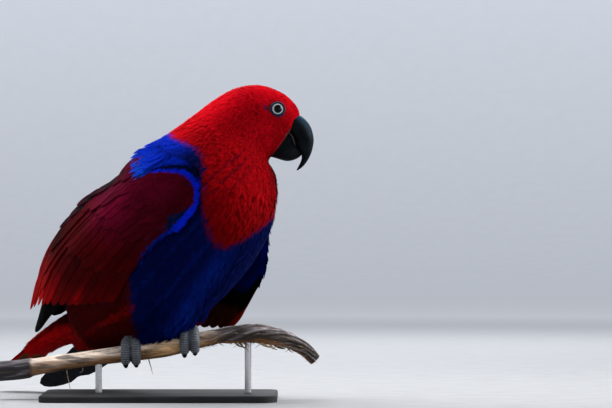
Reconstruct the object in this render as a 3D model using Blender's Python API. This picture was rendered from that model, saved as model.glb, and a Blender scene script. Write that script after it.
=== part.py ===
"""Female eclectus parrot gripping a cut branch, on a plain display stand, life size.

World axes: +X along the perch, +Y behind it, +Z up, origin under the middle of the base.
The bird has its own frame: x forward, y to its left, z up, from a point between its feet.
Numbers in the tables below are millimetres in the bird's frame, unless a comment says otherwise.
"""

import math
import random

import bmesh
import bpy
import numpy as np
from mathutils import Matrix, Vector
from mathutils.bvhtree import BVHTree

MM = 0.001
GAP = 0.3  # air kept between two nodes that touch
UP = Vector((0, 0, 1))

# ---------------------------------------------------------------- the bird's place and pose
FOOT_POINT = Vector((3.75, 0.0, 42.25))  # world place of the bird's own origin
BODY_YAW = math.radians(-46.0)  # the body faces this far round from +X, to the front
HEAD_TURN = -BODY_YAW  # the head turns back to face along the perch
NECK_PIVOT = 42.0  # bird x of the upright axis that the neck turns about

# ---------------------------------------------------------------- trunk, from the rump to the face
# (back x, z), (belly x, z), half width, squareness of the section, share of the head's turn
STATIONS = (
    ((-102, 27), (-84, -6), 12, 2.0, 0.0),
    ((-93, 55), (-63, -7), 27, 2.1, 0.0),
    ((-76, 81), (-34, -2), 38, 2.1, 0.0),
    ((-54, 101), (0, 6), 46, 2.1, 0.0),
    ((-35, 118), (33, 25), 50, 2.1, 0.0),
    ((-19, 132), (66, 50), 51, 2.1, 0.0),
    ((-5, 143), (91, 78), 48, 2.1, 0.1),
    ((6, 150.5), (99, 104), 42, 2.1, 0.3),
    ((19, 158), (97, 122), 35, 2.1, 0.65),
    ((34, 169), (93.5, 131), 29, 2.2, 0.9),
    ((49, 180.5), (91, 134.5), 25.5, 2.3, 1.0),
    ((66, 190), (91, 137), 23, 2.4, 1.0),
    ((84, 192.5), (91.5, 138), 21, 2.5, 1.0),
    ((100.5, 187), (92, 138.6), 18, 2.5, 1.0),
    ((110, 179), (93, 139), 14.5, 2.4, 1.0),
    ((115, 170.5), (94.2, 139.3), 10, 2.2, 1.0),
)
TRUNK_SIDES = 26
RINGS_PER_STATION = 2
NECK_STATION = 6.6  # where the torso ends and the neck begins
HEAD_STATION = 9.4  # where the neck ends and the head begins

# ---------------------------------------------------------------- bill, in the head's straight profile
# (top x, z), (bottom x, z), half width; the first ring of each is sunk in the face and cut off there
BILL_UPPER = (
    ((111.0, 171.0), (103.5, 158.0), 9.8),
    ((115.2, 169.5), (106.6, 157.8), 9.8),
    ((119.9, 165.0), (108.6, 154.6), 9.3),
    ((122.9, 159.4), (110.2, 151.3), 8.6),
    ((124.3, 152.3), (111.9, 148.0), 7.5),
    ((123.7, 146.6), (113.4, 145.0), 6.3),
    ((122.4, 141.9), (114.9, 141.9), 4.9),
    ((120.5, 137.8), (115.3, 138.3), 3.7),
    ((118.0, 133.9), (114.3, 134.9), 2.6),
    ((115.2, 131.1), (112.9, 132.1), 1.6),
    ((112.2, 129.1), (111.5, 129.5), 0.5),
)
BILL_LOWER = (
    ((103.5, 156.5), (91.5, 139.6), 8.2),
    ((106.9, 155.2), (97.0, 138.0), 8.4),
    ((108.6, 151.6), (101.2, 136.7), 8.0),
    ((110.2, 148.1), (104.8, 136.2), 7.1),
    ((111.6, 145.2), (108.5, 136.8), 5.7),
    ((112.8, 142.9), (111.4, 138.3), 4.0),
    ((113.5, 141.4), (113.0, 140.0), 1.8),
)
BILL_SIDES = 14

# ---------------------------------------------------------------- eyes
EYE_AT = (97.6, 175.0)  # x, z in the head's straight profile
EYE_RADIUS = 5.6
EYE_DEPTH = 3.6  # how far its centre lies inside the head's side
LID_OPENING = 4.45  # radius of the opening between the lids
LID_ROLL = 1.15  # half thickness of the ring of bare skin round the eye
LID_STEPS, LID_SIDES = 18, 5

# ---------------------------------------------------------------- perch: world X, Z of its middle, radius
PERCH = (
    (-122.0, 21.0, 7.0),
    (-104.0, 22.5, 6.8),
    (-86.0, 25.6, 6.3),
    (-54.0, 30.6, 6.1),
    (-22.0, 34.8, 6.8),
    (3.75, 38.7, 7.1),
    (26.0, 43.7, 6.4),
    (45.0, 47.5, 6.0),
    (67.5, 49.3, 7.2),
    (84.0, 47.6, 6.6),
    (97.5, 43.7, 5.6),
    (109.0, 37.0, 4.9),
    (117.0, 29.0, 4.4),
)
PERCH_SIDES = 12
PERCH_RINGS = 28

# ---------------------------------------------------------------- stand
BASE_SIZE = (176.0, 116.0, 5.0)
BASE_CORNER = 12.0
BASE_CORNER_STEPS = 7
BASE_BEVEL = 0.9
ROD_RADIUS = 2.5
ROD_SOCKET = 5.0  # how deep each rod goes into the perch
ROD_AT = {"left": -46.0, "right": 66.0}  # world X

# ---------------------------------------------------------------- feet: place along the perch, and toes
FOOT_X = {"right": -21.5, "left": 22.5}  # world X of each foot's middle
TOE_RADIUS = 3.1
FOOT_REACH = 9.5  # how far along the perch a foot reaches to each side
FRONT_TOES = ((-3.9, 132.0), (3.9, 140.0))  # offset along the perch, how far round it goes in degrees
BACK_TOES = ((-5.0, -118.0), (3.2, -108.0))
CLAW_TURN = 42.0  # degrees round the perch that a claw covers
ANKLE = (-6.0, 0.0, 12.0)  # from the foot's hub to the ankle, bird frame
SHANK_RADII = (3.6, 4.6, 3.7, 4.0)

# ---------------------------------------------------------------- thighs: x, distance out, z, radius
THIGH = {
    "right": (
        (-20, 25, 52, 12),
        (-21, 27, 40, 17),
        (-22, 25, 28, 15),
        (-23, 21, 20, 9.5),
        (-23.5, 19, 15, 5.0),
    ),
    "left": (
        (5, 25, 60, 12),
        (5, 27, 49, 17),
        (7, 23, 38, 15),
        (8, 17, 29, 9.0),
        (8.3, 14.5, 24, 5.0),
    ),
}

# ---------------------------------------------------------------- wings
# Each wing lies on a sheet: lines from the wrist to the feather tips, from the lower edge (first)
# to the edge along the back (last). x, distance out from the middle, z.
WING_LINES = {
    "right": (
        ((76, 39.5, 113), (62.5, 47, 92), (42, 51, 77), (17, 50, 58), (-1, 46.5, 43), (-10, 44, 31)),
        ((71, 42.5, 125.5), (48, 52, 105.5), (22, 56, 85.5), (-8, 54, 63), (-36, 47, 42), (-52, 42, 28)),
        ((50, 45, 135.5), (24, 51.5, 120), (-9, 51, 100), (-50, 45, 74), (-83, 37, 50), (-100, 31, 27)),
        ((30, 37.5, 144.5), (-1, 31, 137), (-38, 22, 118), (-84, 14, 97.5), (-122.3, 11, 67), (-142, 12, 23.5)),
    ),
    "left": (
        ((74, 43, 114), (63, 48, 90), (55, 52, 67), (47.5, 53, 46), (32, 52, 25), (21, 50, 9.5)),
        ((70, 45, 126.5), (46, 53, 103), (27, 57, 80), (9, 57, 55), (-8, 54, 31), (-19, 51, 10.5)),
        ((50, 45, 135.5), (24, 51.5, 119.5), (-9, 52, 99), (-42, 50, 70), (-68, 45, 41), (-80, 40, 14)),
        ((30, 37.5, 144), (-1, 31, 137), (-38, 22, 118), (-81, 14, 96), (-120, 11.5, 65), (-147, 13, 19)),
    ),
}
# Root, bow and tip of the longest primary, then of the shortest, under the secondaries
PRIMARIES = {
    "right": (
        ((-8, 50, 62), (-76, 37, 42), (-138, 11, 6.5)),
        ((-42, 43.5, 72), (-84, 36, 52), (-118, 19, 22)),
    ),
    "left": (
        ((8, 55, 54), (-70, 44, -5), (-158, 11, -35.5)),
        ((-32, 49.5, 66), (-86, 40, 14), (-129, 21, -12)),
    ),
}
PRIMARY_COUNT = 6
CORE = (1.3, 9.0, 3.0, 0.66)  # depth of its top, thickness at the shoulder and behind, reach
TIER_RISE = (-2.9, 0.5)  # height over the sheet at a feather's root and at its tip
TIER_HALF = 0.62  # half width of a feather, in steps from one to the next
TILT = 0.62  # how far its back edge lies below its middle line, and its front edge above
OVER_LIFT = 0.95  # height of a tertial or scapular over the one before it
PRIMARY_STEP = 1.0  # height between one primary and the next at their tips
PRIMARY_HALF = {"right": 6.0, "left": 8.0}
VANE = 0.6  # thickness of a feather

# ---------------------------------------------------------------- tail
# x, z of its middle line, half width
TAIL_LINE = ((-86, 20, 12), (-116, 9.5, 15), (-145, -5, 16), (-166, -17, 16), (-189, -30.5, 14.5))
TAIL_ROOT = (8.0, 22.0)  # how far the root reaches above and below that line
TAIL_PAIRS = 6
TAIL_HALF_FEATHER = 7.0
TAIL_ARCH = 1.6  # how much lower the outer feathers lie than the middle ones
TAIL_STACK = 1.05  # height between one pair and the next
# Coverts: how many, how far along the tail they reach, height over it, and its change to the tip
TAIL_COVERTS = ((5, 0.38, 7.0, -2.0), (5, 0.46, -8.0, 3.5), (4, 0.28, -14.0, 4.0))

COLOURS = {
    "head": (0.62, 0.010, 0.012),
    "neck": (0.60, 0.010, 0.014),
    "torso": (0.02, 0.03, 0.30),
    "tail": (0.42, 0.020, 0.012),
    "wing": (0.20, 0.004, 0.020),
    "leg": (0.015, 0.02, 0.20),
    "foot": (0.20, 0.21, 0.22),
    "claw": (0.012, 0.012, 0.014),
    "bill": (0.014, 0.016, 0.020),
    "eye": (0.62, 0.60, 0.50),
    "perch": (0.42, 0.30, 0.19),
    "stand": (0.03, 0.03, 0.03),
}
ROUGHNESS = {"eye": 0.08, "bill": 0.3, "claw": 0.35, "stand": 0.4, "foot": 0.6, "perch": 0.85}


# ---------------------------------------------------------------- curves and frames
def spline(rows, t):
    """Catmull-Rom through rows of equal length, t counted in rows."""
    i = min(max(int(math.floor(t)), 0), len(rows) - 2)
    f = t - i
    a, b = rows[i], rows[i + 1]
    before = rows[i - 1] if i > 0 else 2 * a - b
    after = rows[i + 2] if i + 2 < len(rows) else 2 * b - a
    return 0.5 * (
        2 * a
        + (b - before) * f
        + (2 * before - 5 * a + 4 * b - after) * f * f
        + (3 * a - before - 3 * b + after) * f * f * f
    )


def rows_of(table):
    """A table of nested tuples as flat rows of numbers."""
    return [np.array(np.concatenate([np.atleast_1d(cell) for cell in row]), float) for row in table]


TRUNK_ROWS = rows_of(STATIONS)
PERCH_ROWS = rows_of(PERCH)
TAIL_ROWS = rows_of(TAIL_LINE)


def to_world(point):
    """A point of the bird's frame in millimetres, as a world point in metres."""
    return (FOOT_POINT + Matrix.Rotation(BODY_YAW, 3, "Z") @ Vector(point)) * MM


def to_bird(point):
    """A world point in millimetres, in the bird's frame."""
    return Matrix.Rotation(-BODY_YAW, 3, "Z") @ (Vector(point) - FOOT_POINT)


def turned(point, share=1.0):
    """A point of the straight bird, turned with the neck by a share of the head's turn."""
    pivot = Vector((NECK_PIVOT, 0, 0))
    return pivot + Matrix.Rotation(HEAD_TURN * share, 3, "Z") @ (Vector(point) - pivot)


def section_point(back, belly, half, square, angle, grow=0.0):
    """A point of a superellipse that spans back to belly; angle 0 is the back, 90 degrees the left."""
    middle = (back + belly) / 2
    up = (back - belly) / 2
    c, s = math.cos(angle), math.sin(angle)
    c = math.copysign(abs(c) ** (2 / square), c)
    s = math.copysign(abs(s) ** (2 / square), s)
    return middle + up.normalized() * (up.length + grow) * c + Vector((0, half + grow, 0)) * s


def trunk_point(t, angle, grow=0.0):
    back_x, back_z, belly_x, belly_z, half, square, share = spline(TRUNK_ROWS, t)
    back, belly = Vector((back_x, 0, back_z)), Vector((belly_x, 0, belly_z))
    return turned(section_point(back, belly, half, square, angle, grow), min(max(share, 0), 1))


def perch_share(world_x):
    """How far along the perch a world X lies, 0 to 1."""
    low, high = 0.0, 1.0
    for _ in range(30):
        share = (low + high) / 2
        if spline(PERCH_ROWS, share * (len(PERCH_ROWS) - 1))[0] < world_x:
            low = share
        else:
            high = share
    return low


def perch_at(world_x):
    """The middle of the perch and its radius at a world X, in millimetres."""
    x, z, radius = spline(PERCH_ROWS, perch_share(world_x) * (len(PERCH_ROWS) - 1))
    return Vector((x, 0, z)), radius


# ---------------------------------------------------------------- meshes
def mesh_object(name, points, faces):
    """A closed mesh of points in metres, with its faces turned outwards."""
    mesh = bpy.data.meshes.new(name)
    mesh.from_pydata([tuple(p) for p in points], [], faces)
    bm = bmesh.new()
    bm.from_mesh(mesh)
    bmesh.ops.recalc_face_normals(bm, faces=bm.faces)
    if bm.calc_volume(signed=True) < 0:
        bmesh.ops.reverse_faces(bm, faces=bm.faces)
    bm.to_mesh(mesh)
    bm.free()
    piece = bpy.data.objects.new(name, mesh)
    bpy.context.scene.collection.objects.link(piece)
    return piece


def loft(name, rings):
    """A closed skin over rings of equally many points, with a flat cap at each end."""
    count = len(rings[0])
    faces = []
    for r in range(len(rings) - 1):
        for i in range(count):
            j = (i + 1) % count
            low, high = r * count, (r + 1) * count
            faces.append((low + i, low + j, high + j))
            faces.append((low + i, high + j, high + i))
    faces.append(tuple(reversed(range(count))))
    faces.append(tuple(range((len(rings) - 1) * count, len(rings) * count)))
    return mesh_object(name, [p for ring in rings for p in ring], faces)


def profile_loft(name, table, sides, square, place):
    """A loft over rows of top, bottom and half width; place puts a point of it in the world."""
    rows = rows_of(table)
    rings = []
    for step in range(2 * (len(rows) - 1) + 1):
        top_x, top_z, bottom_x, bottom_z, half = spline(rows, step / 2)
        top, bottom = Vector((top_x, 0, top_z)), Vector((bottom_x, 0, bottom_z))
        angles = [2 * math.pi * k / sides for k in range(sides)]
        rings.append([place(section_point(top, bottom, half, square, a)) for a in angles])
    return loft(name, rings)


def tube(name, centres, radii, sides):
    """A closed tube round world points, in metres."""
    rings = []
    side = None
    for i, centre in enumerate(centres):
        along = (centres[min(i + 1, len(centres) - 1)] - centres[max(i - 1, 0)]).normalized()
        if side is None:
            side = along.orthogonal().normalized()
        side = (side - along * side.dot(along)).normalized()
        up = along.cross(side)
        angles = [2 * math.pi * k / sides for k in range(sides)]
        rings.append([centre + (side * math.cos(a) + up * math.sin(a)) * radii[i] for a in angles])
    return loft(name, rings)


def replace_mesh(piece, bm):
    bm.to_mesh(piece.data)
    bm.free()
    piece.data.update()


def cut_off(piece, point, normal):
    """Cuts away what lies on the normal's side of a plane, and closes the cut."""
    bm = bmesh.new()
    bm.from_mesh(piece.data)
    geometry = bm.verts[:] + bm.edges[:] + bm.faces[:]
    bmesh.ops.bisect_plane(bm, geom=geometry, plane_co=point, plane_no=normal, clear_outer=True)
    rim = [edge for edge in bm.edges if edge.is_boundary]
    bmesh.ops.triangle_fill(bm, edges=rim, use_beauty=True)
    bmesh.ops.recalc_face_normals(bm, faces=bm.faces)
    replace_mesh(piece, bm)


def settled(piece):
    """Replaces the object's mesh by its evaluated one, without its modifiers."""
    bpy.context.view_layer.update()
    graph = bpy.context.evaluated_depsgraph_get()
    mesh = bpy.data.meshes.new_from_object(piece.evaluated_get(graph))
    piece.modifiers.clear()
    piece.data = mesh


def shell_volume(shell):
    """Six times the volume inside a closed set of triangles."""
    corners = [[v.co for v in face.verts] for face in shell]
    return sum(a.dot(b.cross(c)) for a, b, c in corners)


def keep_largest(piece):
    """Drops every closed surface of the mesh but the largest."""
    bm = bmesh.new()
    bm.from_mesh(piece.data)
    bmesh.ops.remove_doubles(bm, verts=bm.verts, dist=1e-7)
    bmesh.ops.triangulate(bm, faces=bm.faces)
    left = set(bm.faces)
    shells = []
    while left:
        stack = [left.pop()]
        shell = list(stack)
        while stack:
            for edge in stack.pop().edges:
                for face in edge.link_faces:
                    if face in left:
                        left.remove(face)
                        stack.append(face)
                        shell.append(face)
        shells.append(shell)
    best = max(shells, key=shell_volume)
    scrap = [face for shell in shells if shell is not best for face in shell]
    bmesh.ops.delete(bm, geom=scrap, context="FACES")
    loose = [v for v in bm.verts if not v.link_faces]
    bmesh.ops.delete(bm, geom=loose, context="VERTS")
    replace_mesh(piece, bm)


def joined(piece, others, operation="UNION", solver="MANIFOLD"):
    """Applies one Boolean with a collection of closed meshes, and removes them."""
    group = bpy.data.collections.new("joining")
    for other in others:
        group.objects.link(other)
    modifier = piece.modifiers.new("joined", "BOOLEAN")
    modifier.operation = operation
    modifier.operand_type = "COLLECTION"
    modifier.collection = group
    modifier.solver = solver
    settled(piece)
    for other in others:
        bpy.data.objects.remove(other)
    bpy.data.collections.remove(group)
    keep_largest(piece)


# ---------------------------------------------------------------- trunk
def trunk_mesh(name, grow=0.0):
    steps = RINGS_PER_STATION * (len(STATIONS) - 1)
    angles = [2 * math.pi * k / TRUNK_SIDES for k in range(TRUNK_SIDES)]
    skin = []
    for step in range(steps + 1):
        t = step / RINGS_PER_STATION
        skin.append([to_world(trunk_point(t, a, grow)) for a in angles])
    return loft(name, skin)


def station_plane(t):
    """World point and forward normal of the trunk's section at station t."""
    back, left, belly = (trunk_point(t, a) for a in (0, math.pi / 2, math.pi))
    middle = (back + belly) / 2
    normal = (left - middle).cross(back - middle).normalized()
    ahead = trunk_point(t + 0.1, math.pi / 2) - left
    if normal.dot(ahead) < 0:
        normal = -normal
    return to_world(middle), Matrix.Rotation(BODY_YAW, 3, "Z") @ normal


def trunk_part(name, start, end):
    """The trunk between two stations, half a gap short of each; None leaves that end whole."""
    piece = trunk_mesh(name)
    if end is not None:
        point, normal = station_plane(end)
        cut_off(piece, point - normal * GAP / 2 * MM, normal)
    if start is not None:
        point, normal = station_plane(start)
        cut_off(piece, point + normal * GAP / 2 * MM, -normal)
    return piece


def trunk_cutter(name):
    return trunk_mesh(name, GAP)


# ---------------------------------------------------------------- head
def head_world(point):
    """A point of the head's straight profile (x, y, z), in the world."""
    return to_world(turned(point))


def eye_frames(tree):
    """Centre and outward direction of each eye, in the world, from the head's surface."""
    frames = {}
    for side, sign in (("right", -1), ("left", 1)):
        start = head_world((EYE_AT[0], sign * 60, EYE_AT[1]))
        inward = (head_world((EYE_AT[0], 0, EYE_AT[1])) - start).normalized()
        hit, normal, _, _ = tree.ray_cast(start, inward)
        outward = (normal - inward).normalized()
        frames[side] = (hit - outward * EYE_DEPTH * MM, outward, hit)
    return frames


def ball(name, centre, radius):
    mesh = bpy.data.meshes.new(name)
    bm = bmesh.new()
    bmesh.ops.create_icosphere(bm, subdivisions=2, radius=radius * MM)
    bm.to_mesh(mesh)
    bm.free()
    piece = bpy.data.objects.new(name, mesh)
    bpy.context.scene.collection.objects.link(piece)
    mesh.transform(Matrix.Translation(centre))
    return piece


def lid_ring(name, centre, outward, hit):
    """The lids: a flattened ring of skin, a little longer than high, round the eye's opening."""
    across = outward.cross(UP).normalized()
    up = across.cross(outward).normalized()
    reach = LID_OPENING + LID_ROLL
    height = math.sqrt(EYE_RADIUS**2 - LID_OPENING**2) + 0.25
    rings = []
    for k in range(LID_STEPS):
        angle = 2 * math.pi * k / LID_STEPS
        radial = across * math.cos(angle) * 1.06 + up * math.sin(angle)
        ring = []
        for j in range(LID_SIDES):
            turn = 2 * math.pi * j / LID_SIDES
            out = reach + LID_ROLL * math.cos(turn)
            rise = height + 0.75 * LID_ROLL * math.sin(turn)
            ring.append(centre + (radial * out + outward * rise) * MM)
        rings.append(ring)
    points = [p for ring in rings for p in ring]
    faces = []
    for r in range(LID_STEPS):
        for i in range(LID_SIDES):
            j, s = (i + 1) % LID_SIDES, (r + 1) % LID_STEPS
            faces.append([k * LID_SIDES + m for k, m in ((r, i), (r, j), (s, j), (s, i))])
    return mesh_object(name, points, faces)


def add_head():
    head = trunk_part("head", HEAD_STATION, None)
    whole = trunk_mesh("whole")
    bpy.context.view_layer.update()
    tree = BVHTree.FromObject(whole, bpy.context.evaluated_depsgraph_get())
    frames = eye_frames(tree)
    bpy.data.objects.remove(whole)
    lids = [lid_ring("lids_" + side, *frame) for side, frame in frames.items()]
    joined(head, lids)
    sockets = [ball("socket_" + side, frame[0], EYE_RADIUS + GAP) for side, frame in frames.items()]
    joined(head, sockets, "DIFFERENCE")
    for side, frame in frames.items():
        ball("eye_" + side, frame[0], EYE_RADIUS)
    return head


def add_bill():
    face, forward = station_plane(len(STATIONS) - 1)
    for name, table in (("bill_upper", BILL_UPPER), ("bill_lower", BILL_LOWER)):
        piece = profile_loft(name, table, BILL_SIDES, 2.3, head_world)
        cut_off(piece, face + forward * GAP * MM, -forward)


# ---------------------------------------------------------------- perch and stand
def perch_loft(name, grow=0.0, rings=PERCH_RINGS, rough=1.0, start=0.0, end=1.0):
    draw = random.Random(7)
    knots = [(draw.uniform(0.05, 0.95), draw.uniform(0, 2 * math.pi)) for _ in range(7)]
    result = []
    for r in range(rings):
        share = start + (end - start) * r / (rings - 1)
        t = share * (len(PERCH_ROWS) - 1)
        x, z, radius = spline(PERCH_ROWS, t)
        last = len(PERCH_ROWS) - 1
        ahead = spline(PERCH_ROWS, min(t + 0.05, last)) - spline(PERCH_ROWS, max(t - 0.05, 0))
        along = Vector((ahead[0], 0, ahead[1])).normalized()
        side = Vector((0, 1, 0))
        up = side.cross(along) * -1
        ring = []
        for k in range(PERCH_SIDES):
            angle = 2 * math.pi * k / PERCH_SIDES
            swell = 0.0
            for place, turn in knots:
                nearness = math.exp(-(((share - place) / 0.02) ** 2))
                swell += 0.5 * nearness * max(math.cos(angle - turn), 0)
            swell += 0.22 * math.sin(angle * 2 + share * 21)
            reach = radius + rough * swell + grow
            spoke = side * math.cos(angle) + up * math.sin(angle)
            ring.append((Vector((x, 0, z)) + spoke * reach) * MM)
        result.append(ring)
    return loft(name, result)


def foot_hollow(side):
    """The room that a foot takes round the perch."""
    ends = [perch_share(FOOT_X[side] + reach) for reach in (-FOOT_REACH, FOOT_REACH)]
    return perch_loft("foot_hollow", 2 * TOE_RADIUS + 4 * GAP, 3, 0.0, *ends)


def cylinder(name, x, y, low, high, radius, sides=24):
    mesh = bpy.data.meshes.new(name)
    bm = bmesh.new()
    radius, depth = radius * MM, (high - low) * MM
    bmesh.ops.create_cone(
        bm, cap_ends=True, segments=sides, radius1=radius, radius2=radius, depth=depth
    )
    bm.to_mesh(mesh)
    bm.free()
    mesh.transform(Matrix.Translation(Vector((x, y, (low + high) / 2)) * MM))
    piece = bpy.data.objects.new(name, mesh)
    bpy.context.scene.collection.objects.link(piece)
    return piece


def add_base():
    """The base: a plate with rounded corners and a small bevel round its top."""
    length, depth, height = (side / 2 for side in BASE_SIZE)
    straight_x, straight_y = length - BASE_CORNER, depth - BASE_CORNER
    rings = []
    for inset, z in ((0, 0), (0, 2 * height - BASE_BEVEL), (BASE_BEVEL, 2 * height)):
        ring = []
        for k in range(4 * BASE_CORNER_STEPS):
            corner = k // BASE_CORNER_STEPS
            turn = math.pi / 2 * (corner + (k % BASE_CORNER_STEPS) / (BASE_CORNER_STEPS - 1))
            x = math.copysign(straight_x, 1 if corner in (0, 3) else -1)
            y = math.copysign(straight_y, 1 if corner in (0, 1) else -1)
            reach = BASE_CORNER - inset
            ring.append(Vector((x + reach * math.cos(turn), y + reach * math.sin(turn), z)) * MM)
        rings.append(ring)
    loft("stand_base", rings)


def add_perch_and_stand():
    perch = perch_loft("perch")
    sockets = []
    for side, x in ROD_AT.items():
        middle, radius = perch_at(x)
        low = middle.z - radius
        top = low + ROD_SOCKET
        cylinder("stand_rod_" + side, x, 0, BASE_SIZE[2] + GAP, top, ROD_RADIUS)
        sockets.append(cylinder("socket_" + side, x, 0, low - 4, top + GAP, ROD_RADIUS + GAP))
    joined(perch, sockets, "DIFFERENCE")
    add_base()


# ---------------------------------------------------------------- feet and legs
def round_perch(world_x, angle, reach):
    """A world point in metres at an angle round the perch, 0 on top and positive to the front."""
    middle, radius = perch_at(world_x)
    turn = math.radians(angle)
    return (middle + Vector((0, -math.sin(turn), math.cos(turn))) * (radius + reach)) * MM


def toe(name, foot_x, offset, end):
    """A toe that leaves the hub and wraps round the perch, with a swelling at each joint."""
    steps = 8
    centres, radii = [], []
    for i in range(steps):
        share = i / (steps - 1)
        spread = 0.35 + 0.65 * min(share * 2.2, 1)
        radius = TOE_RADIUS * (1.0 - 0.22 * share) * (1.0 + 0.07 * math.cos(share * 6 * math.pi))
        if i == steps - 1:
            radius *= 0.72
        height = TOE_RADIUS * (1.0 - 0.2 * share) + 2 * GAP
        centres.append(round_perch(foot_x + offset * spread, end * share, height))
        radii.append(radius * MM)
    return tube(name, centres, radii, 7)


def toes(side):
    return [toe("toe", FOOT_X[side], offset, end) for offset, end in FRONT_TOES + BACK_TOES]


def claw(name, foot_x, offset, end):
    """A claw that carries the toe's curve on, face to face with its end, to a point."""
    turn = math.copysign(CLAW_TURN, end)
    centres, radii = [], []
    for i in range(6):
        share = i / 5
        angle = end + math.copysign(2.6, end) + turn * share
        radius = 1.75 * (1 - share) ** 0.8 + 0.25
        height = radius + 0.9 + 1.4 * math.sin(share * math.pi * 0.8)
        centres.append(round_perch(foot_x + offset, angle, height))
        radii.append(radius * MM)
    return tube(name, centres, radii, 6)


def foot_hub(side):
    """The middle of the foot, above the perch, in the bird's frame."""
    return to_bird(round_perch(FOOT_X[side], 0, TOE_RADIUS + GAP + 0.6) / MM)


def shank(name, side, grow=0.0):
    """The bare leg from the foot's hub to the ankle."""
    hub = foot_hub(side)
    rise = Vector(ANKLE)
    centres = [hub + Vector((1.5, 0, -0.4)), hub, hub + rise * 0.5, hub + rise]
    return tube(name, [to_world(p) for p in centres], [(r + grow) * MM for r in SHANK_RADII], 10)


def add_leg(side):
    foot_x = FOOT_X[side]
    foot = shank("foot_" + side, side)
    for number, (offset, end) in enumerate(FRONT_TOES + BACK_TOES, 1):
        claw(f"claw_{side}_{number}", foot_x, offset, end)
    joined(foot, toes(side))
    joined(foot, [perch_loft("pressed", GAP)], "DIFFERENCE")
    thigh("leg_" + side, side)


def thigh(name, side, grow=0.0):
    """The feathered thigh; its lower end meets the ankle face to face."""
    sign = -1 if side == "right" else 1
    centres = [Vector((x, sign * out, z)) for x, out, z, _ in THIGH[side]]
    upwards = Vector(ANKLE).normalized()
    ankle = foot_hub(side) + Vector(ANKLE)
    centres[-2:] = [ankle + upwards * 7, ankle + upwards * (GAP - grow)]
    centres[0] += (centres[0] - centres[1]).normalized() * grow
    radii = [(row[3] + grow) * MM for row in THIGH[side]]
    return tube(name, [to_world(p) for p in centres], radii, 14)


# ---------------------------------------------------------------- feathers
# Outlines: rows of share of the feather's length and share of its half width
LONG_VANE = ((0.0, 0.5), (0.42, 0.95), (0.84, 0.9), (1.0, 0.34))
SHORT_VANE = ((0.0, 0.62), (0.76, 0.98), (1.0, 0.38))
SMALL_VANE = ((0.0, 0.7), (0.7, 1.0), (1.0, 0.4))
PRIMARY_VANE = ((0.0, 0.7), (0.45, 1.0), (0.9, 0.88), (1.0, 0.45))
COLUMNS = {LONG_VANE: (-1, 0, 1), SHORT_VANE: (-1, 0, 1), SMALL_VANE: (-1, 1)}
# Rows of wing feathers: how many, where they start and end along the sheet, outline, ridge
TIERS = {
    "secondaries": (9, 0.46, 1.0, LONG_VANE, 0.3),
    "greater_coverts": (8, 0.22, 0.595, SHORT_VANE, 0.0),
    "median_coverts": (8, 0.04, 0.31, SHORT_VANE, 0.0),
    "lesser_coverts": (6, -0.055, 0.107, SMALL_VANE, 0.0),
}
# Feathers over the others near the back edge: place and half width across the sheet, start, end
TERTIALS = ((0.86, 0.075, 0.36, 0.88), (0.95, 0.075, 0.30, 0.76))
SCAPULARS = ((0.80, 0.12, 0.0, 0.34), (0.95, 0.11, 0.03, 0.45))


def vane(name, rows, thickness, ridge=0.0):
    """A feather round rows of (place, normal) across its middle surface, in the bird's frame.

    Both faces are split into triangles alike. A ridge above 0 raises its middle line.
    """
    count = len(rows[0])
    points = []
    for r, row in enumerate(rows):
        half = thickness * (0.3 if r == len(rows) - 1 else 0.5)
        for sign in (1, -1):
            for column, (place, normal) in enumerate(row):
                rise = ridge if 2 * column == count - 1 else 0.0
                points.append(to_world(place + normal * (half * sign + rise)))
    ring = 2 * count
    faces = []
    for r in range(len(rows) - 1):
        a, b = r * ring, (r + 1) * ring
        for i in range(count - 1):
            faces += [(a + i, a + i + 1, b + i + 1), (a + i, b + i + 1, b + i)]
            low, high = a + count, b + count
            faces += [(low + i, high + i + 1, low + i + 1), (low + i, high + i, high + i + 1)]
        for i in (0, count - 1):
            faces += [(a + i, b + i, b + count + i), (a + i, b + count + i, a + count + i)]
    for a in (0, (len(rows) - 1) * ring):
        for i in range(count - 1):
            faces += [(a + i, a + i + 1, a + count + i + 1), (a + i, a + count + i + 1, a + count + i)]
    return mesh_object(name, points, faces)


class Sheet:
    """A wing's surface: u runs from the wrist to the tips, v from the lower edge to the back edge."""

    def __init__(self, side):
        self.sign = -1 if side == "right" else 1
        self.lines = [
            [np.array((x, out * self.sign, z), float) for x, out, z in line] for line in WING_LINES[side]
        ]

    def at(self, u, v):
        across = [spline(line, u * (len(line) - 1)) for line in self.lines]
        return Vector(spline(across, v * (len(across) - 1)))

    def frame(self, u, v, step=0.02):
        """Place, direction towards the tips, direction towards the back edge, and outward normal."""
        along = (self.at(u + step, v) - self.at(u - step, v)).normalized()
        across = self.at(u, v + step) - self.at(u, v - step)
        across = (across - along * across.dot(along)).normalized()
        normal = along.cross(across) * self.sign
        return self.at(u, v), along, across, normal


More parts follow.
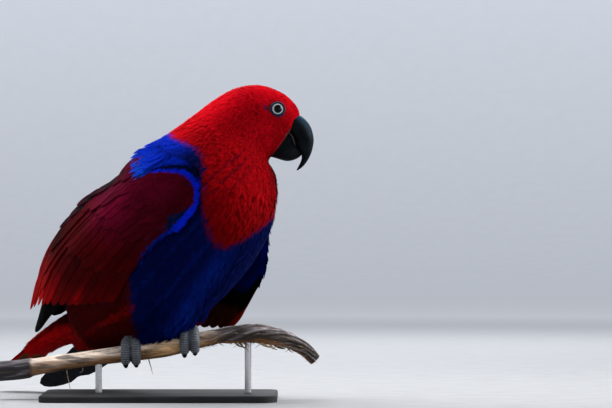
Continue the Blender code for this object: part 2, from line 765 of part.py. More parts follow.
def wing_core(side, sheet):
    """A closed slab under the sheet that the feathers are rooted in, thick at the shoulder."""
    columns, rows = 7, 6
    sink, deep, thin, reach = CORE
    top, bottom = [], []
    for r in range(rows):
        u = 0.02 + (reach - 0.02) * r / (rows - 1)
        for c in range(columns):
            v = 0.03 + 0.94 * c / (columns - 1)
            place, _, _, normal = sheet.frame(u, v)
            depth = deep + (thin - deep) * min(u / reach * 1.25, 1)
            top.append(to_world(place - normal * sink))
            bottom.append(to_world(place - normal * (sink + depth)))
    points = top + bottom
    shift = rows * columns
    faces = []
    for r in range(rows - 1):
        for c in range(columns - 1):
            a, b = r * columns + c, (r + 1) * columns + c
            faces += [(a, a + 1, b + 1), (a, b + 1, b)]
            faces += [(a + shift, b + 1 + shift, a + 1 + shift), (a + shift, b + shift, b + 1 + shift)]
    rim = [(0, c) for c in range(columns)]
    rim += [(r, columns - 1) for r in range(1, rows)]
    rim += [(rows - 1, c) for c in range(columns - 2, -1, -1)]
    rim += [(r, 0) for r in range(rows - 2, 0, -1)]
    for (r0, c0), (r1, c1) in zip(rim, rim[1:] + rim[:1]):
        a, b = r0 * columns + c0, r1 * columns + c1
        faces.append((a, b, b + shift, a + shift))
    return mesh_object("wing_" + side, points, faces)


def sheet_feather(name, sheet, v, half, start, end, shape, ridge, lift=0.0):
    """A feather that rises out of the wing's core and lies along the sheet; v and half are across it."""
    low, high = TIER_RISE
    rows = []
    for share, width in shape:
        u = start + (end - start) * share
        row = []
        for column in COLUMNS[shape]:
            place, _, _, normal = sheet.frame(u, v + half * width * column)
            rise = low + (high - low) * share + lift - TILT * width * column
            row.append((place + normal * rise, normal))
        rows.append(row)
    return vane(name, rows, VANE, ridge)


def primary(sheet, side, share, lift):
    """A primary, from the longest at share 0 to the shortest at share 1."""
    ends = []
    for first, last in zip(*PRIMARIES[side]):
        place = Vector(first).lerp(Vector(last), share)
        ends.append(Vector((place.x, place.y * sheet.sign, place.z)))
    root, bow, tip = ends
    rows = []
    for s, width in PRIMARY_VANE:
        centre = root * (1 - s) ** 2 + bow * 2 * s * (1 - s) + tip * s**2
        along = ((bow - root) * (1 - s) + (tip - bow) * s).normalized()
        normal = Vector((-0.15, sheet.sign, 0.25))
        normal = (normal - along * normal.dot(along)).normalized()
        across = along.cross(normal) * sheet.sign
        half = PRIMARY_HALF[side] * width
        rows.append([(centre + normal * lift * s + across * half * c, normal) for c in (-1, 0, 1)])
    return vane("primary", rows, VANE, 0.3)


def add_wing(side):
    """The wing: a core with the tiers of feathers rooted in it, joined into one body."""
    sheet = Sheet(side)
    draw = random.Random(11 if side == "right" else 12)
    feathers = []
    for name, (count, start, end, shape, ridge) in TIERS.items():
        pitch = 0.94 / (count - 1)
        for i in range(count):
            reach = end + draw.uniform(-0.03, 0.03) * (end - start)
            half = TIER_HALF * pitch * draw.uniform(0.97, 1.03)
            v = 0.03 + pitch * i
            feathers.append(sheet_feather(name, sheet, v, half, start, reach, shape, ridge))
    for table, shape, ridge in ((TERTIALS, LONG_VANE, 0.3), (SCAPULARS, SHORT_VANE, 0.0)):
        for i, (v, half, start, end) in enumerate(table):
            lift = OVER_LIFT * (i + 1)
            feathers.append(sheet_feather("over", sheet, v, half, start, end, shape, ridge, lift))
    for i in range(PRIMARY_COUNT):
        feathers.append(primary(sheet, side, i / (PRIMARY_COUNT - 1), PRIMARY_STEP * i))
    wing = wing_core(side, sheet)
    joined(wing, feathers)
    return wing


def tail_loft(reach, rings=6, sides=12):
    """The tail's root, thick under the coverts, drawn out to a share of the tail's length."""
    result = []
    for r in range(rings):
        share = reach * r / (rings - 1)
        x, z, half = spline(TAIL_ROWS, share * (len(TAIL_ROWS) - 1))
        above = TAIL_ROOT[0] * (1 - share) ** 2 + 1.0
        below = TAIL_ROOT[1] * (1 - share) ** 2 + 1.0
        ring = []
        for k in range(sides):
            angle = 2 * math.pi * k / sides
            rise = math.cos(angle)
            drop = above if rise > 0 else below
            ring.append(to_world(Vector((x, half * math.sin(angle), z + drop * rise))))
        result.append(ring)
    return loft("tail", result)


def tail_feather(name, side, reach, height, shape, start=0.12, droop=0.0, ridge=0.0):
    """A tail feather; side is its tip's share of the tail's half width, -1 to 1."""
    rows = []
    for s, width in shape:
        share = start + (reach - start) * s
        x, z, half = spline(TAIL_ROWS, share * (len(TAIL_ROWS) - 1))
        ahead = spline(TAIL_ROWS, min(share + 0.02, 1) * (len(TAIL_ROWS) - 1))
        behind = spline(TAIL_ROWS, (share - 0.02) * (len(TAIL_ROWS) - 1))
        along = Vector((ahead[0] - behind[0], 0, ahead[1] - behind[1])).normalized()
        row = []
        for column in COLUMNS[shape]:
            y = side * (half - TAIL_HALF_FEATHER) * (0.55 + 0.45 * s) + TAIL_HALF_FEATHER * width * column
            arch = TAIL_ARCH * (y / half) ** 2
            across = Vector((0, 1, -2 * TAIL_ARCH * y / half**2)).normalized()
            normal = along.cross(across)
            normal = normal if normal.z > 0 else -normal
            row.append((Vector((x, y, z - arch)) + normal * (height + droop * s), normal))
        rows.append(row)
    return vane(name, rows, VANE, ridge)


def add_tail():
    """Six pairs of tail feathers, the middle pair on top, with coverts above and below their roots."""
    draw = random.Random(21)
    feathers = []
    for pair in range(TAIL_PAIRS):
        for hand in (-1, 1):
            side = hand * (pair + 0.5) / (TAIL_PAIRS - 0.5)
            height = TAIL_STACK * ((TAIL_PAIRS - 1) / 2 - pair + (hand + 1) / 4)
            reach = 1.0 - 0.035 * side * side + draw.uniform(-0.006, 0.006)
            feathers.append(tail_feather("rectrix", side, reach, height, LONG_VANE, ridge=0.3))
    for count, reach, height, droop in TAIL_COVERTS:
        for i in range(count):
            side = -0.9 + 1.8 * i / (count - 1)
            lift = height + math.copysign(1.0, height) * (i % 2)
            end = reach + draw.uniform(-0.02, 0.02)
            feathers.append(tail_feather("covert", side, end, lift, SMALL_VANE, 0.06, droop))
    tail = tail_loft(0.42)
    joined(tail, feathers)
    joined(tail, [trunk_cutter("cutter")], "DIFFERENCE")
    return tail


# ---------------------------------------------------------------- the whole
def clear_scene():
    for old in list(bpy.data.objects):
        bpy.data.objects.remove(old)


def paint(piece):
    kind = piece.name.split("_")[0]
    material = bpy.data.materials.get(kind) or bpy.data.materials.new(kind)
    material.use_nodes = True
    shader = material.node_tree.nodes["Principled BSDF"]
    shader.inputs["Base Color"].default_value = (*COLOURS[kind], 1)
    shader.inputs["Roughness"].default_value = ROUGHNESS.get(kind, 0.75)
    shader.inputs["Metallic"].default_value = 0.0
    piece.data.materials.clear()
    piece.data.materials.append(material)


def main():
    clear_scene()
    add_perch_and_stand()
    for side in ("right", "left"):
        add_leg(side)
    add_head()
    trunk_part("neck", NECK_STATION, HEAD_STATION)
    torso = trunk_part("torso", None, NECK_STATION)
    hollows = [perch_loft("rest", GAP)]
    for side in ("right", "left"):
        hollows += [thigh("hollow_" + side, side, 2 * GAP), shank("bore_" + side, side, 3 * GAP)]
        hollows += [foot_hollow(side), ball("hub", to_world(foot_hub(side)), SHANK_RADII[1] + 4 * GAP)]
    joined(torso, hollows, "DIFFERENCE")
    add_bill()
    add_tail()
    for side in ("right", "left"):
        wing = add_wing(side)
        joined(wing, [trunk_cutter("cutter"), thigh("cutter_thigh", side, 2 * GAP)], "DIFFERENCE")
    parrot = bpy.data.collections.new("eclectus_parrot")
    bpy.context.scene.collection.children.link(parrot)
    for piece in list(bpy.context.scene.collection.objects):
        paint(piece)
        bpy.context.scene.collection.objects.unlink(piece)
        parrot.objects.link(piece)


main()
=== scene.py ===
"""Looks of the eclectus parrot: skin, feathers, bill, eyes, feet, branch and stand, in a studio.

Lengths are millimetres, turned into metres where a mesh is made. World axes are the frame's: +X
along the branch, +Y behind it, +Z up. The bird has its own frame, as in the part: x forward, y to
its left, z up. Arrays of points carry x, y, z on their last axis.
"""

import math

import bpy
import numpy as np
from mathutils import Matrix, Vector
from mathutils.bvhtree import BVHTree
from mathutils.kdtree import KDTree


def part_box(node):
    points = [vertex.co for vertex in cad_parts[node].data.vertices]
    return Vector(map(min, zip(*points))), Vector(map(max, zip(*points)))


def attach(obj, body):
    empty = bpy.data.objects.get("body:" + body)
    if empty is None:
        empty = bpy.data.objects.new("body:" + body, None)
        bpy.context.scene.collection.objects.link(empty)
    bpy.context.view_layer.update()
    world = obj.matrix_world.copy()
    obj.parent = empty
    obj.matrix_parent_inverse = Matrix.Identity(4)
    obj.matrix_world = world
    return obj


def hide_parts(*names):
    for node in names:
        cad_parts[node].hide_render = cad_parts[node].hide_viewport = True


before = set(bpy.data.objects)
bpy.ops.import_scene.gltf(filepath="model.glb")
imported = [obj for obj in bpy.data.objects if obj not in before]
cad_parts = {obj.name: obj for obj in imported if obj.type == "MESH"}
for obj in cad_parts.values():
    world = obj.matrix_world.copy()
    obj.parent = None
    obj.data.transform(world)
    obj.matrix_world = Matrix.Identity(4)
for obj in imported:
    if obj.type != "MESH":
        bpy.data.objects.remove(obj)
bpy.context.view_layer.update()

MM = 0.001
FULL_TURN = 2 * math.pi
SIDES = {"right": -1, "left": 1}

# ---------------------------------------------------------------- camera: image of 612 by 408
IMAGE_WIDTH = 612
PIXEL = 0.75  # millimetres of the branch's plane that one pixel shows
CAMERA_TARGET = (109.5, 0.0, 146.5)
CAMERA_DISTANCE = 3000.0
SENSOR = 36.0
FLOOR_RADIUS = 4200.0  # the studio's flat floor
SWEEP = 1200.0  # radius of the curve from the floor to the wall
WALL_TOP = 2600.0

# ---------------------------------------------------------------- the bird's place and pose
FOOT_POINT = np.array((3.75, 0.0, 42.25))
BODY_YAW = math.radians(-46.0)
NECK_PIVOT = np.array((42.0, 0.0, 0.0))

# ---------------------------------------------------------------- trunk, from the rump to the face
# back x, z, belly x, z, half width, squareness of the section, share of the head's turn
STATIONS = np.array((
    (-102, 27, -84, -6, 12, 2.0, 0.0),
    (-93, 55, -63, -7, 27, 2.1, 0.0),
    (-76, 81, -34, -2, 38, 2.1, 0.0),
    (-54, 101, 0, 6, 46, 2.1, 0.0),
    (-35, 118, 33, 25, 50, 2.1, 0.0),
    (-19, 132, 66, 50, 51, 2.1, 0.0),
    (-5, 143, 91, 78, 48, 2.1, 0.1),
    (6, 150.5, 99, 104, 42, 2.1, 0.3),
    (19, 158, 97, 122, 35, 2.1, 0.65),
    (34, 169, 93.5, 131, 29, 2.2, 0.9),
    (49, 180.5, 91, 134.5, 25.5, 2.3, 1.0),
    (66, 190, 91, 137, 23, 2.4, 1.0),
    (84, 192.5, 91.5, 138, 21, 2.5, 1.0),
    (100.5, 187, 92, 138.6, 18, 2.5, 1.0),
    (110, 179, 93, 139, 14.5, 2.4, 1.0),
    (115, 170.5, 94.2, 139.3, 10, 2.2, 1.0),
))
FACE = len(STATIONS) - 1.0  # the last station, where the bill begins
RUMP_REACH = -0.6  # how far feathers run on past the first station

# ---------------------------------------------------------------- bill, in the head's straight profile
# top x, z, bottom x, z, half width
BILL_UPPER = np.array((
    (111.0, 171.0, 103.5, 158.0, 9.8),
    (115.2, 169.5, 106.6, 157.8, 9.8),
    (119.9, 165.0, 108.6, 154.6, 9.3),
    (122.9, 159.4, 110.2, 151.3, 8.6),
    (124.3, 152.3, 111.9, 148.0, 7.5),
    (123.7, 146.6, 113.4, 145.0, 6.3),
    (122.4, 141.9, 114.9, 141.9, 4.9),
    (120.5, 137.8, 115.3, 138.3, 3.7),
    (118.0, 133.9, 114.3, 134.9, 2.6),
    (115.2, 131.1, 112.9, 132.1, 1.6),
    (112.2, 129.1, 111.5, 129.5, 0.5),
))
BILL_LOWER = np.array((
    (103.5, 157.0, 91.5, 139.6, 8.2),
    (108.0, 155.8, 97.0, 138.0, 8.4),
    (110.0, 152.0, 101.2, 136.7, 8.0),
    (111.9, 148.3, 104.8, 136.1, 7.1),
    (113.6, 145.2, 108.5, 136.6, 5.7),
    (115.0, 142.9, 112.0, 138.0, 4.0),
    (115.6, 141.3, 114.6, 139.9, 1.8),
))
GAPE = ((104.5, 158.2), (108.0, 154.8), (109.4, 151.0), (110.6, 147.6))  # pale edge between the two
GAPE_SPREAD = 8.0  # how far out that edge runs on each side
# Tongue and palate: x, z, half width, half thickness
MOUTH = np.array((
    (101.0, 156.5, 5.0, 1.2),
    (105.0, 157.2, 6.6, 1.6),
    (108.2, 155.0, 6.6, 1.8),
    (110.0, 151.4, 5.6, 1.8),
    (111.4, 148.0, 3.0, 1.2),
))

# ---------------------------------------------------------------- eyes
EYE_RADIUS = 5.6
EYE_DROP = 0.5  # how far the eye's middle lies below the middle of its node
PUPIL_RADIUS = 3.0
IRIS_RADIUS = 4.3
CORNEA_RADIUS = 3.4
CORNEA_BULGE = 0.35
LID_RADIUS = 4.75
LID_ROLL = 0.75  # radius of the roll of skin round the eye
BARE_RADIUS = 5.5  # no feather is rooted nearer to the eye's middle
RING_RADIUS = 6.1  # out to here the feathers round the eye are small and blue
MARK = (10.6, 1.2, 1.7)  # a small blue mark: how far behind the eye and above it, and its radius

# ---------------------------------------------------------------- branch: world x, z, radius
PERCH = np.array((
    (-122.0, 21.0, 7.0),
    (-104.0, 22.5, 6.8),
    (-86.0, 25.6, 6.3),
    (-54.0, 30.6, 6.1),
    (-22.0, 34.8, 6.8),
    (3.75, 38.7, 7.1),
    (26.0, 43.7, 6.4),
    (45.0, 47.5, 6.0),
    (67.5, 49.3, 7.2),
    (84.0, 47.6, 6.6),
    (97.5, 43.7, 5.6),
    (109.0, 37.0, 4.9),
    (117.0, 29.0, 4.4),
))
# Loose fibres: world x of the root, angle round the branch, length, sideways drift, thickness
FIBRES = (
    (-70.0, 170, 17, 3, 0.55),
    (-58.5, 185, 6, -2, 0.5),
    (-8.5, 165, 13, 3, 0.45),
    (57.0, 168, 5, 5, 1.2),
    (60.0, 180, 7, 6, 1.0),
    (63.5, 190, 10, 4, 1.3),
    (64.5, 165, 8, 2, 0.9),
    (66.0, 175, 6, -3, 0.8),
    (76.0, 175, 5, 9, 1.4),
    (83.0, 170, 6, 5, 1.2),
    (86.0, 185, 5, 8, 1.3),
    (88.0, 160, 4, 4, 0.9),
    (95.0, 175, 6, 5, 0.6),
    (104.0, 190, 5, 4, 0.6),
)
SPLINTERS = 110  # short ones, on the torn end

# ---------------------------------------------------------------- feet
FOOT_X = {"right": -21.5, "left": 22.5}
TOE_RADIUS = 3.1
TOE_GIRTH = 3.85  # with its scaly skin
TOES = ((-3.9, 132.0), (3.9, 140.0), (-5.0, -118.0), (3.2, -108.0))  # offset, degrees round the branch
CLAW_TURN = 42.0  # degrees that a claw goes on round the branch
ANKLE = np.array((-6.0, 0.0, 12.0))
SHANK_RADII = (3.6, 4.6, 3.7, 4.0)
CLEAR = 0.3  # air between the toes and the branch in the part
SCUTE = 1.35  # length of one scale along a toe

# ---------------------------------------------------------------- thighs: x, distance out, z, radius
THIGH = {
    "right": (
        (-20, 25, 52, 12),
        (-21, 27, 40, 17),
        (-22, 25, 28, 15),
        (-23, 21, 20, 9.5),
        (-23.5, 19, 15, 5.0),
    ),
    "left": (
        (5, 25, 60, 12),
        (5, 27, 49, 17),
        (7, 23, 38, 15),
        (8, 17, 29, 9.0),
        (8.3, 14.5, 24, 5.0),
    ),
}

# ---------------------------------------------------------------- wings: lines from the wrist to the tips
WING_LINES = {
    "right": (
        ((76, 39.5, 113), (62.5, 47, 92), (42, 51, 77), (17, 50, 58), (-1, 46.5, 43), (-10, 44, 31)),
        ((71, 42.5, 125.5), (48, 52, 105.5), (22, 56, 85.5), (-8, 54, 63), (-36, 47, 42), (-52, 42, 28)),
        ((50, 45, 135.5), (24, 51.5, 120), (-9, 51, 100), (-50, 45, 74), (-83, 37, 50), (-100, 31, 27)),
        (
            (30, 37.5, 144.5), (-1, 31, 137), (-38, 22, 118),
            (-84, 14, 97.5), (-122.3, 11, 67), (-142, 12, 23.5),
        ),
    ),
    "left": (
        ((74, 43, 114), (63, 48, 90), (55, 52, 67), (47.5, 53, 46), (32, 52, 25), (21, 50, 9.5)),
        ((70, 45, 126.5), (46, 53, 103), (27, 57, 80), (9, 57, 55), (-8, 54, 31), (-19, 51, 10.5)),
        ((50, 45, 135.5), (24, 51.5, 119.5), (-9, 52, 99), (-42, 50, 70), (-68, 45, 41), (-80, 40, 14)),
        ((30, 37.5, 144), (-1, 31, 137), (-38, 22, 118), (-81, 14, 96), (-120, 11.5, 65), (-147, 13, 19)),
    ),
}
# Root, bow and tip of the longest primary, then of the shortest
PRIMARIES = {
    "right": (
        ((-8, 50, 62), (-76, 37, 42), (-138, 11, 6.5)),
        ((-42, 42.5, 72), (-84, 33.5, 52), (-118, 17, 22)),
    ),
    "left": (
        ((8, 55, 54), (-70, 44, -5), (-158, 11, -35.5)),
        ((-32, 49.5, 66), (-86, 40, 14), (-129, 21, -12)),
    ),
}
PRIMARY_HALF = {"right": 6.0, "left": 8.0}
PRIMARY_COUNT = 9
# Tiers of feathers over the wing: count, start and end along the sheet, height at root and tip
TIERS = {
    "secondary": (13, 0.38, 1.0, (-2.4, 0.3)),
    "greater": (14, 0.26, 0.66, (-1.8, 0.2)),
    "median": (16, 0.17, 0.44, (-1.2, 0.3)),
    "lesser": (19, 0.10, 0.32, (-0.8, 0.5)),
    "least": (22, 0.03, 0.22, (-0.8, 0.6)),
}
# Feathers over the others near the back edge: place and half width across the sheet, start, end, lift
OVERLAYS = (
    (0.82, 0.075, 0.38, 0.92, 0.6),
    (0.89, 0.080, 0.34, 0.86, 1.1),
    (0.96, 0.080, 0.28, 0.78, 1.6),
    (0.78, 0.090, 0.12, 0.42, 0.7),
    (0.86, 0.090, 0.10, 0.50, 1.1),
    (0.94, 0.080, 0.08, 0.56, 1.2),
    (0.84, 0.080, 0.00, 0.28, 1.2),
    (0.92, 0.075, 0.00, 0.36, 1.0),
)
# Dark feathers that stand up from the back edge
RUFFLES = (
    (1.00, 0.040, 0.30, 0.47, 2.6),
    (1.03, 0.035, 0.36, 0.52, 3.2),
    (1.04, 0.040, 0.42, 0.585, 3.0),
    (1.02, 0.040, 0.48, 0.64, 2.4),
    (1.03, 0.030, 0.56, 0.70, 2.0),
)

# ---------------------------------------------------------------- tail: x, z of its middle line, half width
TAIL_LINE = np.array((
    (-86, 20, 12),
    (-116, 9.5, 15),
    (-145, -5, 16),
    (-166, -17, 16),
    (-189, -30.5, 14.5),
))
TAIL_PAIRS = 6
TAIL_HALF_FEATHER = 7.0
TAIL_ARCH = 1.6  # how far the sides lie below the middle
TAIL_STACK = 1.05  # height from one pair of feathers to the next
TAIL_THICKNESS = 0.26  # small feathers to a square millimetre at its root
# Small feathers at its root: which face, its swell, how far they reach along the tail, seed
TAIL_COATS = {
    "coat_tail_upper": (1, 8.0, 0.36, 410),
    "coat_tail_under": (-1, 21.0, 0.34, 420),
}

# ---------------------------------------------------------------- plumage colours, linear
HEAD_RED = (0.355, 0.0009, 0.005)
BREAST_RED = (0.25, 0.0006, 0.0025)
BIB_RED = (0.13, 0.0005, 0.001)
MANTLE_BLUE = (0.0012, 0.018, 0.40)
FRINGE_BLUE = (0.004, 0.050, 0.42)
MANTLE_SHADOW_BLUE = (0.0006, 0.002, 0.018)
BELLY_BLUE = (0.0006, 0.0030, 0.042)
THIGH_BLUE = (0.0008, 0.010, 0.13)
BACK_MAROON = (0.085, 0.002, 0.012)
VENT_RED = (0.036, 0.0012, 0.0012)
STREAK_RED = (0.26, 0.002, 0.003)
WING_MAROON = (0.088, 0.0010, 0.013)
WING_DARK = (0.040, 0.0006, 0.0040)
WING_RED = (0.042, 0.0004, 0.0010)
TIP_RED = (0.24, 0.0006, 0.0012)
EDGE_BLUE = (0.001, 0.012, 0.48)
LINE_BLUE = (0.0006, 0.006, 0.036)
UNDER_BLUE = (0.0006, 0.008, 0.15)
UNDER_BLACK = (0.0022, 0.004, 0.0022)
UNDER_RED = (0.48, 0.010, 0.005)
OLIVE_RED = (0.060, 0.014, 0.004)
PRIMARY_BLACK = (0.0035, 0.0026, 0.003)
RUFFLE_BLACK = (0.011, 0.007, 0.009)
TAIL_RED = (0.34, 0.0012, 0.003)
TAIL_OLIVE = (0.060, 0.026, 0.006)
EYE_BLUE = (0.004, 0.008, 0.045)
CREASE_SHADE_RED = (0.03, 0.001, 0.006)
SHADE_AND_PATCH_BLACK = (0.006, 0.002, 0.001)
HIDDEN_BLUE = (0.003, 0.006, 0.040)
PRIMARY_BLUE = (0.008, 0.016, 0.075)
PRIMARY_UNDER = (0.016, 0.017, 0.020)

# ---------------------------------------------------------------- other colours, linear
BLACK = (0.0, 0.0, 0.0)
HORN_BLACK = (0.0016, 0.0022, 0.0026)
HORN_GREY = (0.006, 0.008, 0.010)
SHEEN_BLUE = (0.0, 0.020, 0.044)
GAPE_CREAM = (0.055, 0.045, 0.040)
# Painted shade and light of the wood: brown below, pale on top
WOOD_SHADED_BROWN = (0.25, 0.120, 0.050)
WOOD_LIT_PALE = (0.80, 0.64, 0.52)
WOOD_ORANGE = (0.86, 0.50, 0.20)
WOOD_UNDER = (0.30, 0.13, 0.035)
TORN_DARK = (0.030, 0.018, 0.012)
TORN_GREY = (0.30, 0.26, 0.27)
BARK_DARK = (0.016, 0.012, 0.016)
BARK_GREY = (0.11, 0.095, 0.105)
CUT_END = (0.30, 0.22, 0.14)
FIBRE_PALE = (0.50, 0.34, 0.20)
FIBRE_DARK = (0.10, 0.075, 0.07)

PATCH = 0.003  # size of one tuft on the bake map
COVER_REACH = 22.0  # a wing nearer than this over the trunk hides the small feathers there


# ---------------------------------------------------------------- arrays of points
def unit(v):
    return v / np.maximum(np.linalg.norm(v, axis=-1, keepdims=True), 1e-9)


def catmull(pick, last, t):
    """Catmull-Rom at t, counted in rows; pick gives the rows at an array of whole numbers up to last."""
    i = np.clip(np.floor(t).astype(int), 0, last - 1)
    f = (t - i)[..., None]
    a, b = pick(i), pick(i + 1)
    before = np.where((i > 0)[..., None], pick(np.maximum(i - 1, 0)), 2 * a - b)
    after = np.where((i + 2 <= last)[..., None], pick(np.minimum(i + 2, last)), 2 * b - a)
    linear = (b - before) * f
    square = (2 * before - 5 * a + 4 * b - after) * f * f
    cube = (3 * a - before - 3 * b + after) * f * f * f
    return 0.5 * (2 * a + linear + square + cube)


def spline(rows, t):
    """Catmull-Rom through rows at t, an array counted in rows."""
    return catmull(lambda k: rows[k], len(rows) - 1, np.asarray(t, float))


def full_circle(count):
    """Angles spread evenly round a turn."""
    return FULL_TURN * np.arange(count) / count


def squared(value, power):
    """Sines or cosines of a rounded square: a power of 2 leaves them as they are."""
    return np.sign(value) * np.abs(value) ** (2 / power)


def between(ends, share):
    """A value a share of the way from the first end to the second."""
    return ends[0] + (ends[1] - ends[0]) * share


def travelled(points):
    """How far along a line of points each of them lies."""
    return np.concatenate([[0], np.cumsum(np.linalg.norm(np.diff(points, axis=0), axis=1))])


def grid(span, rows, columns, closed=False):
    """Coordinates of a grid over a span; a closed one leaves out its last column."""
    p0, p1, q0, q1 = span
    return np.meshgrid(
        np.linspace(p0, p1, rows), np.linspace(q0, q1, columns, endpoint=not closed), indexing="ij"
    )


def spun(points, angle, pivot):
    """Points turned about the upright axis through pivot; the angle may differ between points."""
    c, s = np.cos(angle), np.sin(angle)
    x, y = points[..., 0] - pivot[0], points[..., 1] - pivot[1]
    return np.stack([pivot[0] + x * c - y * s, pivot[1] + x * s + y * c, points[..., 2]], -1)


def to_world(points):
    """Points of the bird's frame in the world's."""
    return spun(points, BODY_YAW, (0, 0)) + FOOT_POINT


def head_world(points):
    """Points of the head's straight profile, x, y, z, in the world."""
    return to_world(spun(points, -BODY_YAW, NECK_PIVOT))


def wave(seed, *args):
    """A smooth value between -1 and 1, from a sum of seeded sines of the arguments."""
    draw = np.random.default_rng(seed)
    total = 0.0
    for _ in range(5):
        turn = draw.uniform(0, FULL_TURN)
        total = total + np.sin(sum(a * draw.normal(0, 1) for a in args) + turn)
    return total / 5


def blend(a, b, share):
    """Colours or points from a to b, by an array of shares."""
    share = np.clip(np.asarray(share, float), 0, 1)[..., None]
    return np.asarray(a, float) * (1 - share) + np.asarray(b, float) * share


def smooth(low, high, x):
    """0 below low and 1 above high, with a soft step between."""
    s = np.clip((x - low) / (high - low), 0, 1)
    return s * s * (3 - 2 * s)


class Surface:
    """A surface in the world that feathers lie on. They run along its first coordinate."""

    run = 1.0  # the way they run
    outward = 1.0  # which of the two normals points out
    steps = (0.02, 0.02)

    def frame(self, p, q, height=0.0):
        """Place, derivatives along p and q, and outward normal."""
        dp, dq = self.steps
        along = (self.at(p + dp, q, height) - self.at(p - dp, q, height)) / (2 * dp)
        across = (self.at(p, q + dq, height) - self.at(p, q - dq, height)) / (2 * dq)
        return self.at(p, q, height), along, across, unit(np.cross(along, across)) * self.outward


class Trunk(Surface):
    """Head, neck and body: p is the station, q the angle from the back towards the left."""

    run = -1.0
    span = (0.0, FACE, 0.0, FULL_TURN)

    def at(self, p, q, height=0.0):
        row = spline(STATIONS, np.clip(p, RUMP_REACH, FACE + 0.2))
        back, belly = row[..., 0:2], row[..., 2:4]
        middle, up = (back + belly) / 2, (back - belly) / 2
        reach = np.linalg.norm(up, axis=-1)
        c, s = squared(np.cos(q), row[..., 5]), squared(np.sin(q), row[..., 5])
        rise = (up / reach[..., None]) * ((reach + height) * c)[..., None]
        profile = middle + rise
        points = np.stack([profile[..., 0], (row[..., 4] + height) * s, profile[..., 1]], -1)
        share = np.clip(row[..., 6], 0, 1)
        return to_world(spun(points, -BODY_YAW * share, NECK_PIVOT))


class Thigh(Surface):
    """A feathered thigh: p runs down it in rows of its table, q round it."""

    steps = (0.04, 0.04)

    def __init__(self, side):
        self.sign = SIDES[side]
        self.rows = np.array(THIGH[side]) * (1, self.sign, 1, 1)
        self.span = (0.0, len(self.rows) - 1.0, 0.0, FULL_TURN)

    def at(self, p, q, height=0.0):
        row = spline(self.rows, p)
        reach = row[..., 3] + height
        spoke = np.stack([np.cos(q) * reach, np.sin(q) * reach, 0 * reach], -1)
        return to_world(row[..., 0:3] + spoke)


class Wing(Surface):
    """A folded wing: p runs from the wrist to the tips, q from the lower edge to the back edge."""

    span = (0.0, 1.0, 0.0, 1.0)

    def __init__(self, side, inner=False):
        self.sign = SIDES[side]
        lines = np.array(WING_LINES[side], float) * np.array((1, self.sign, 1))
        self.lines = np.swapaxes(lines, 0, 1).reshape(lines.shape[1], -1)
        self.count = len(lines)
        self.face = -1.0 if inner else 1.0
        self.outward = self.sign * self.face

    def flat(self, p, q):
        across = spline(self.lines, p * (len(self.lines) - 1))
        across = across.reshape(across.shape[:-1] + (self.count, 3))

        def line(k):
            return np.take_along_axis(across, k[..., None, None], -2)[..., 0, :]

        return to_world(catmull(line, self.count - 1, np.asarray(q * (self.count - 1), float)))

    def at(self, p, q, height=0.0):
        p, q = np.broadcast_arrays(np.asarray(p, float), np.asarray(q, float))
        if np.ndim(height) == 0 and height == 0:
            return self.flat(p, q)
        dp, dq = self.steps
        along = self.flat(p + dp, q) - self.flat(p - dp, q)
        across = self.flat(p, q + dq) - self.flat(p, q - dq)
        normal = unit(np.cross(along, across)) * self.outward
        return self.flat(p, q) + normal * np.asarray(height)[..., None]


TRUNK = Trunk()


# ---------------------------------------------------------------- meshes and attributes
def new_object(name, mesh):
    piece = bpy.data.objects.new(name, mesh)
    bpy.context.scene.collection.objects.link(piece)
    return piece


def mesh_piece(name, points, faces):
    """A smooth mesh of points in millimetres and faces of any size."""
    mesh = bpy.data.meshes.new(name)
    mesh.from_pydata((np.asarray(points, float) * MM).tolist(), [], faces)
    mesh.shade_smooth()
    return new_object(name, mesh)


def array_piece(name, points, sizes, corners):
    """A smooth mesh from arrays: points in millimetres, corners of each face, and all corners."""
    mesh = bpy.data.meshes.new(name)
    mesh.vertices.add(len(points))
    mesh.vertices.foreach_set("co", (points * MM).astype(np.float32).ravel())
    mesh.loops.add(len(corners))
    mesh.loops.foreach_set("vertex_index", corners.astype(np.int32))
    mesh.polygons.add(len(sizes))
    starts = np.concatenate([[0], np.cumsum(sizes)[:-1]])
    mesh.polygons.foreach_set("loop_start", starts.astype(np.int32))
    mesh.update(calc_edges=True)
    mesh.shade_smooth()
    return new_object(name, mesh)


def add_tint(piece, colours):
    """Colours of the points, as the attribute that the materials read."""
    tint = piece.data.color_attributes.new("Tint", "FLOAT_COLOR", "POINT")
    solid = np.concatenate([colours, np.ones((len(colours), 1))], 1)
    tint.data.foreach_set("color", solid.astype(np.float32).ravel())


def plain_tint(piece, colour):
    """One colour all over the piece."""
    add_tint(piece, np.tile(colour, (len(piece.data.vertices), 1)))


def add_map(piece, name, places):
    """A UV map from a place for each point."""
    mesh = piece.data
    corners = np.empty(len(mesh.loops), np.int32)
    mesh.loops.foreach_get("vertex_index", corners)
    layer = mesh.uv_layers.new(name=name)
    layer.data.foreach_set("uv", places[corners].astype(np.float32).ravel())


def grid_faces(rows, columns, close=False):
    """Faces of a grid of points, row by row; close joins the last column to the first."""
    faces = []
    for r in range(rows - 1):
        for c in range(columns if close else columns - 1):
            d = (c + 1) % columns
            a, b = r * columns, (r + 1) * columns
            faces.append((a + c, a + d, b + d, b + c))
    return faces


def slab(top, bottom):
    """Points and faces of a closed slab between two grids of points."""
    rows, columns = top.shape[:2]
    count = rows * columns
    faces = grid_faces(rows, columns)
    faces += [tuple(count + i for i in reversed(face)) for face in faces]
    rim = list(range(columns))
    rim += [r * columns + columns - 1 for r in range(1, rows)]
    rim += [(rows - 1) * columns + c for c in range(columns - 2, -1, -1)]
    rim += [r * columns for r in range(rows - 2, 0, -1)]
    faces += [(b, a, a + count, b + count) for a, b in zip(rim, rim[1:] + rim[:1])]
    return np.concatenate([top.reshape(-1, 3), bottom.reshape(-1, 3)]), faces


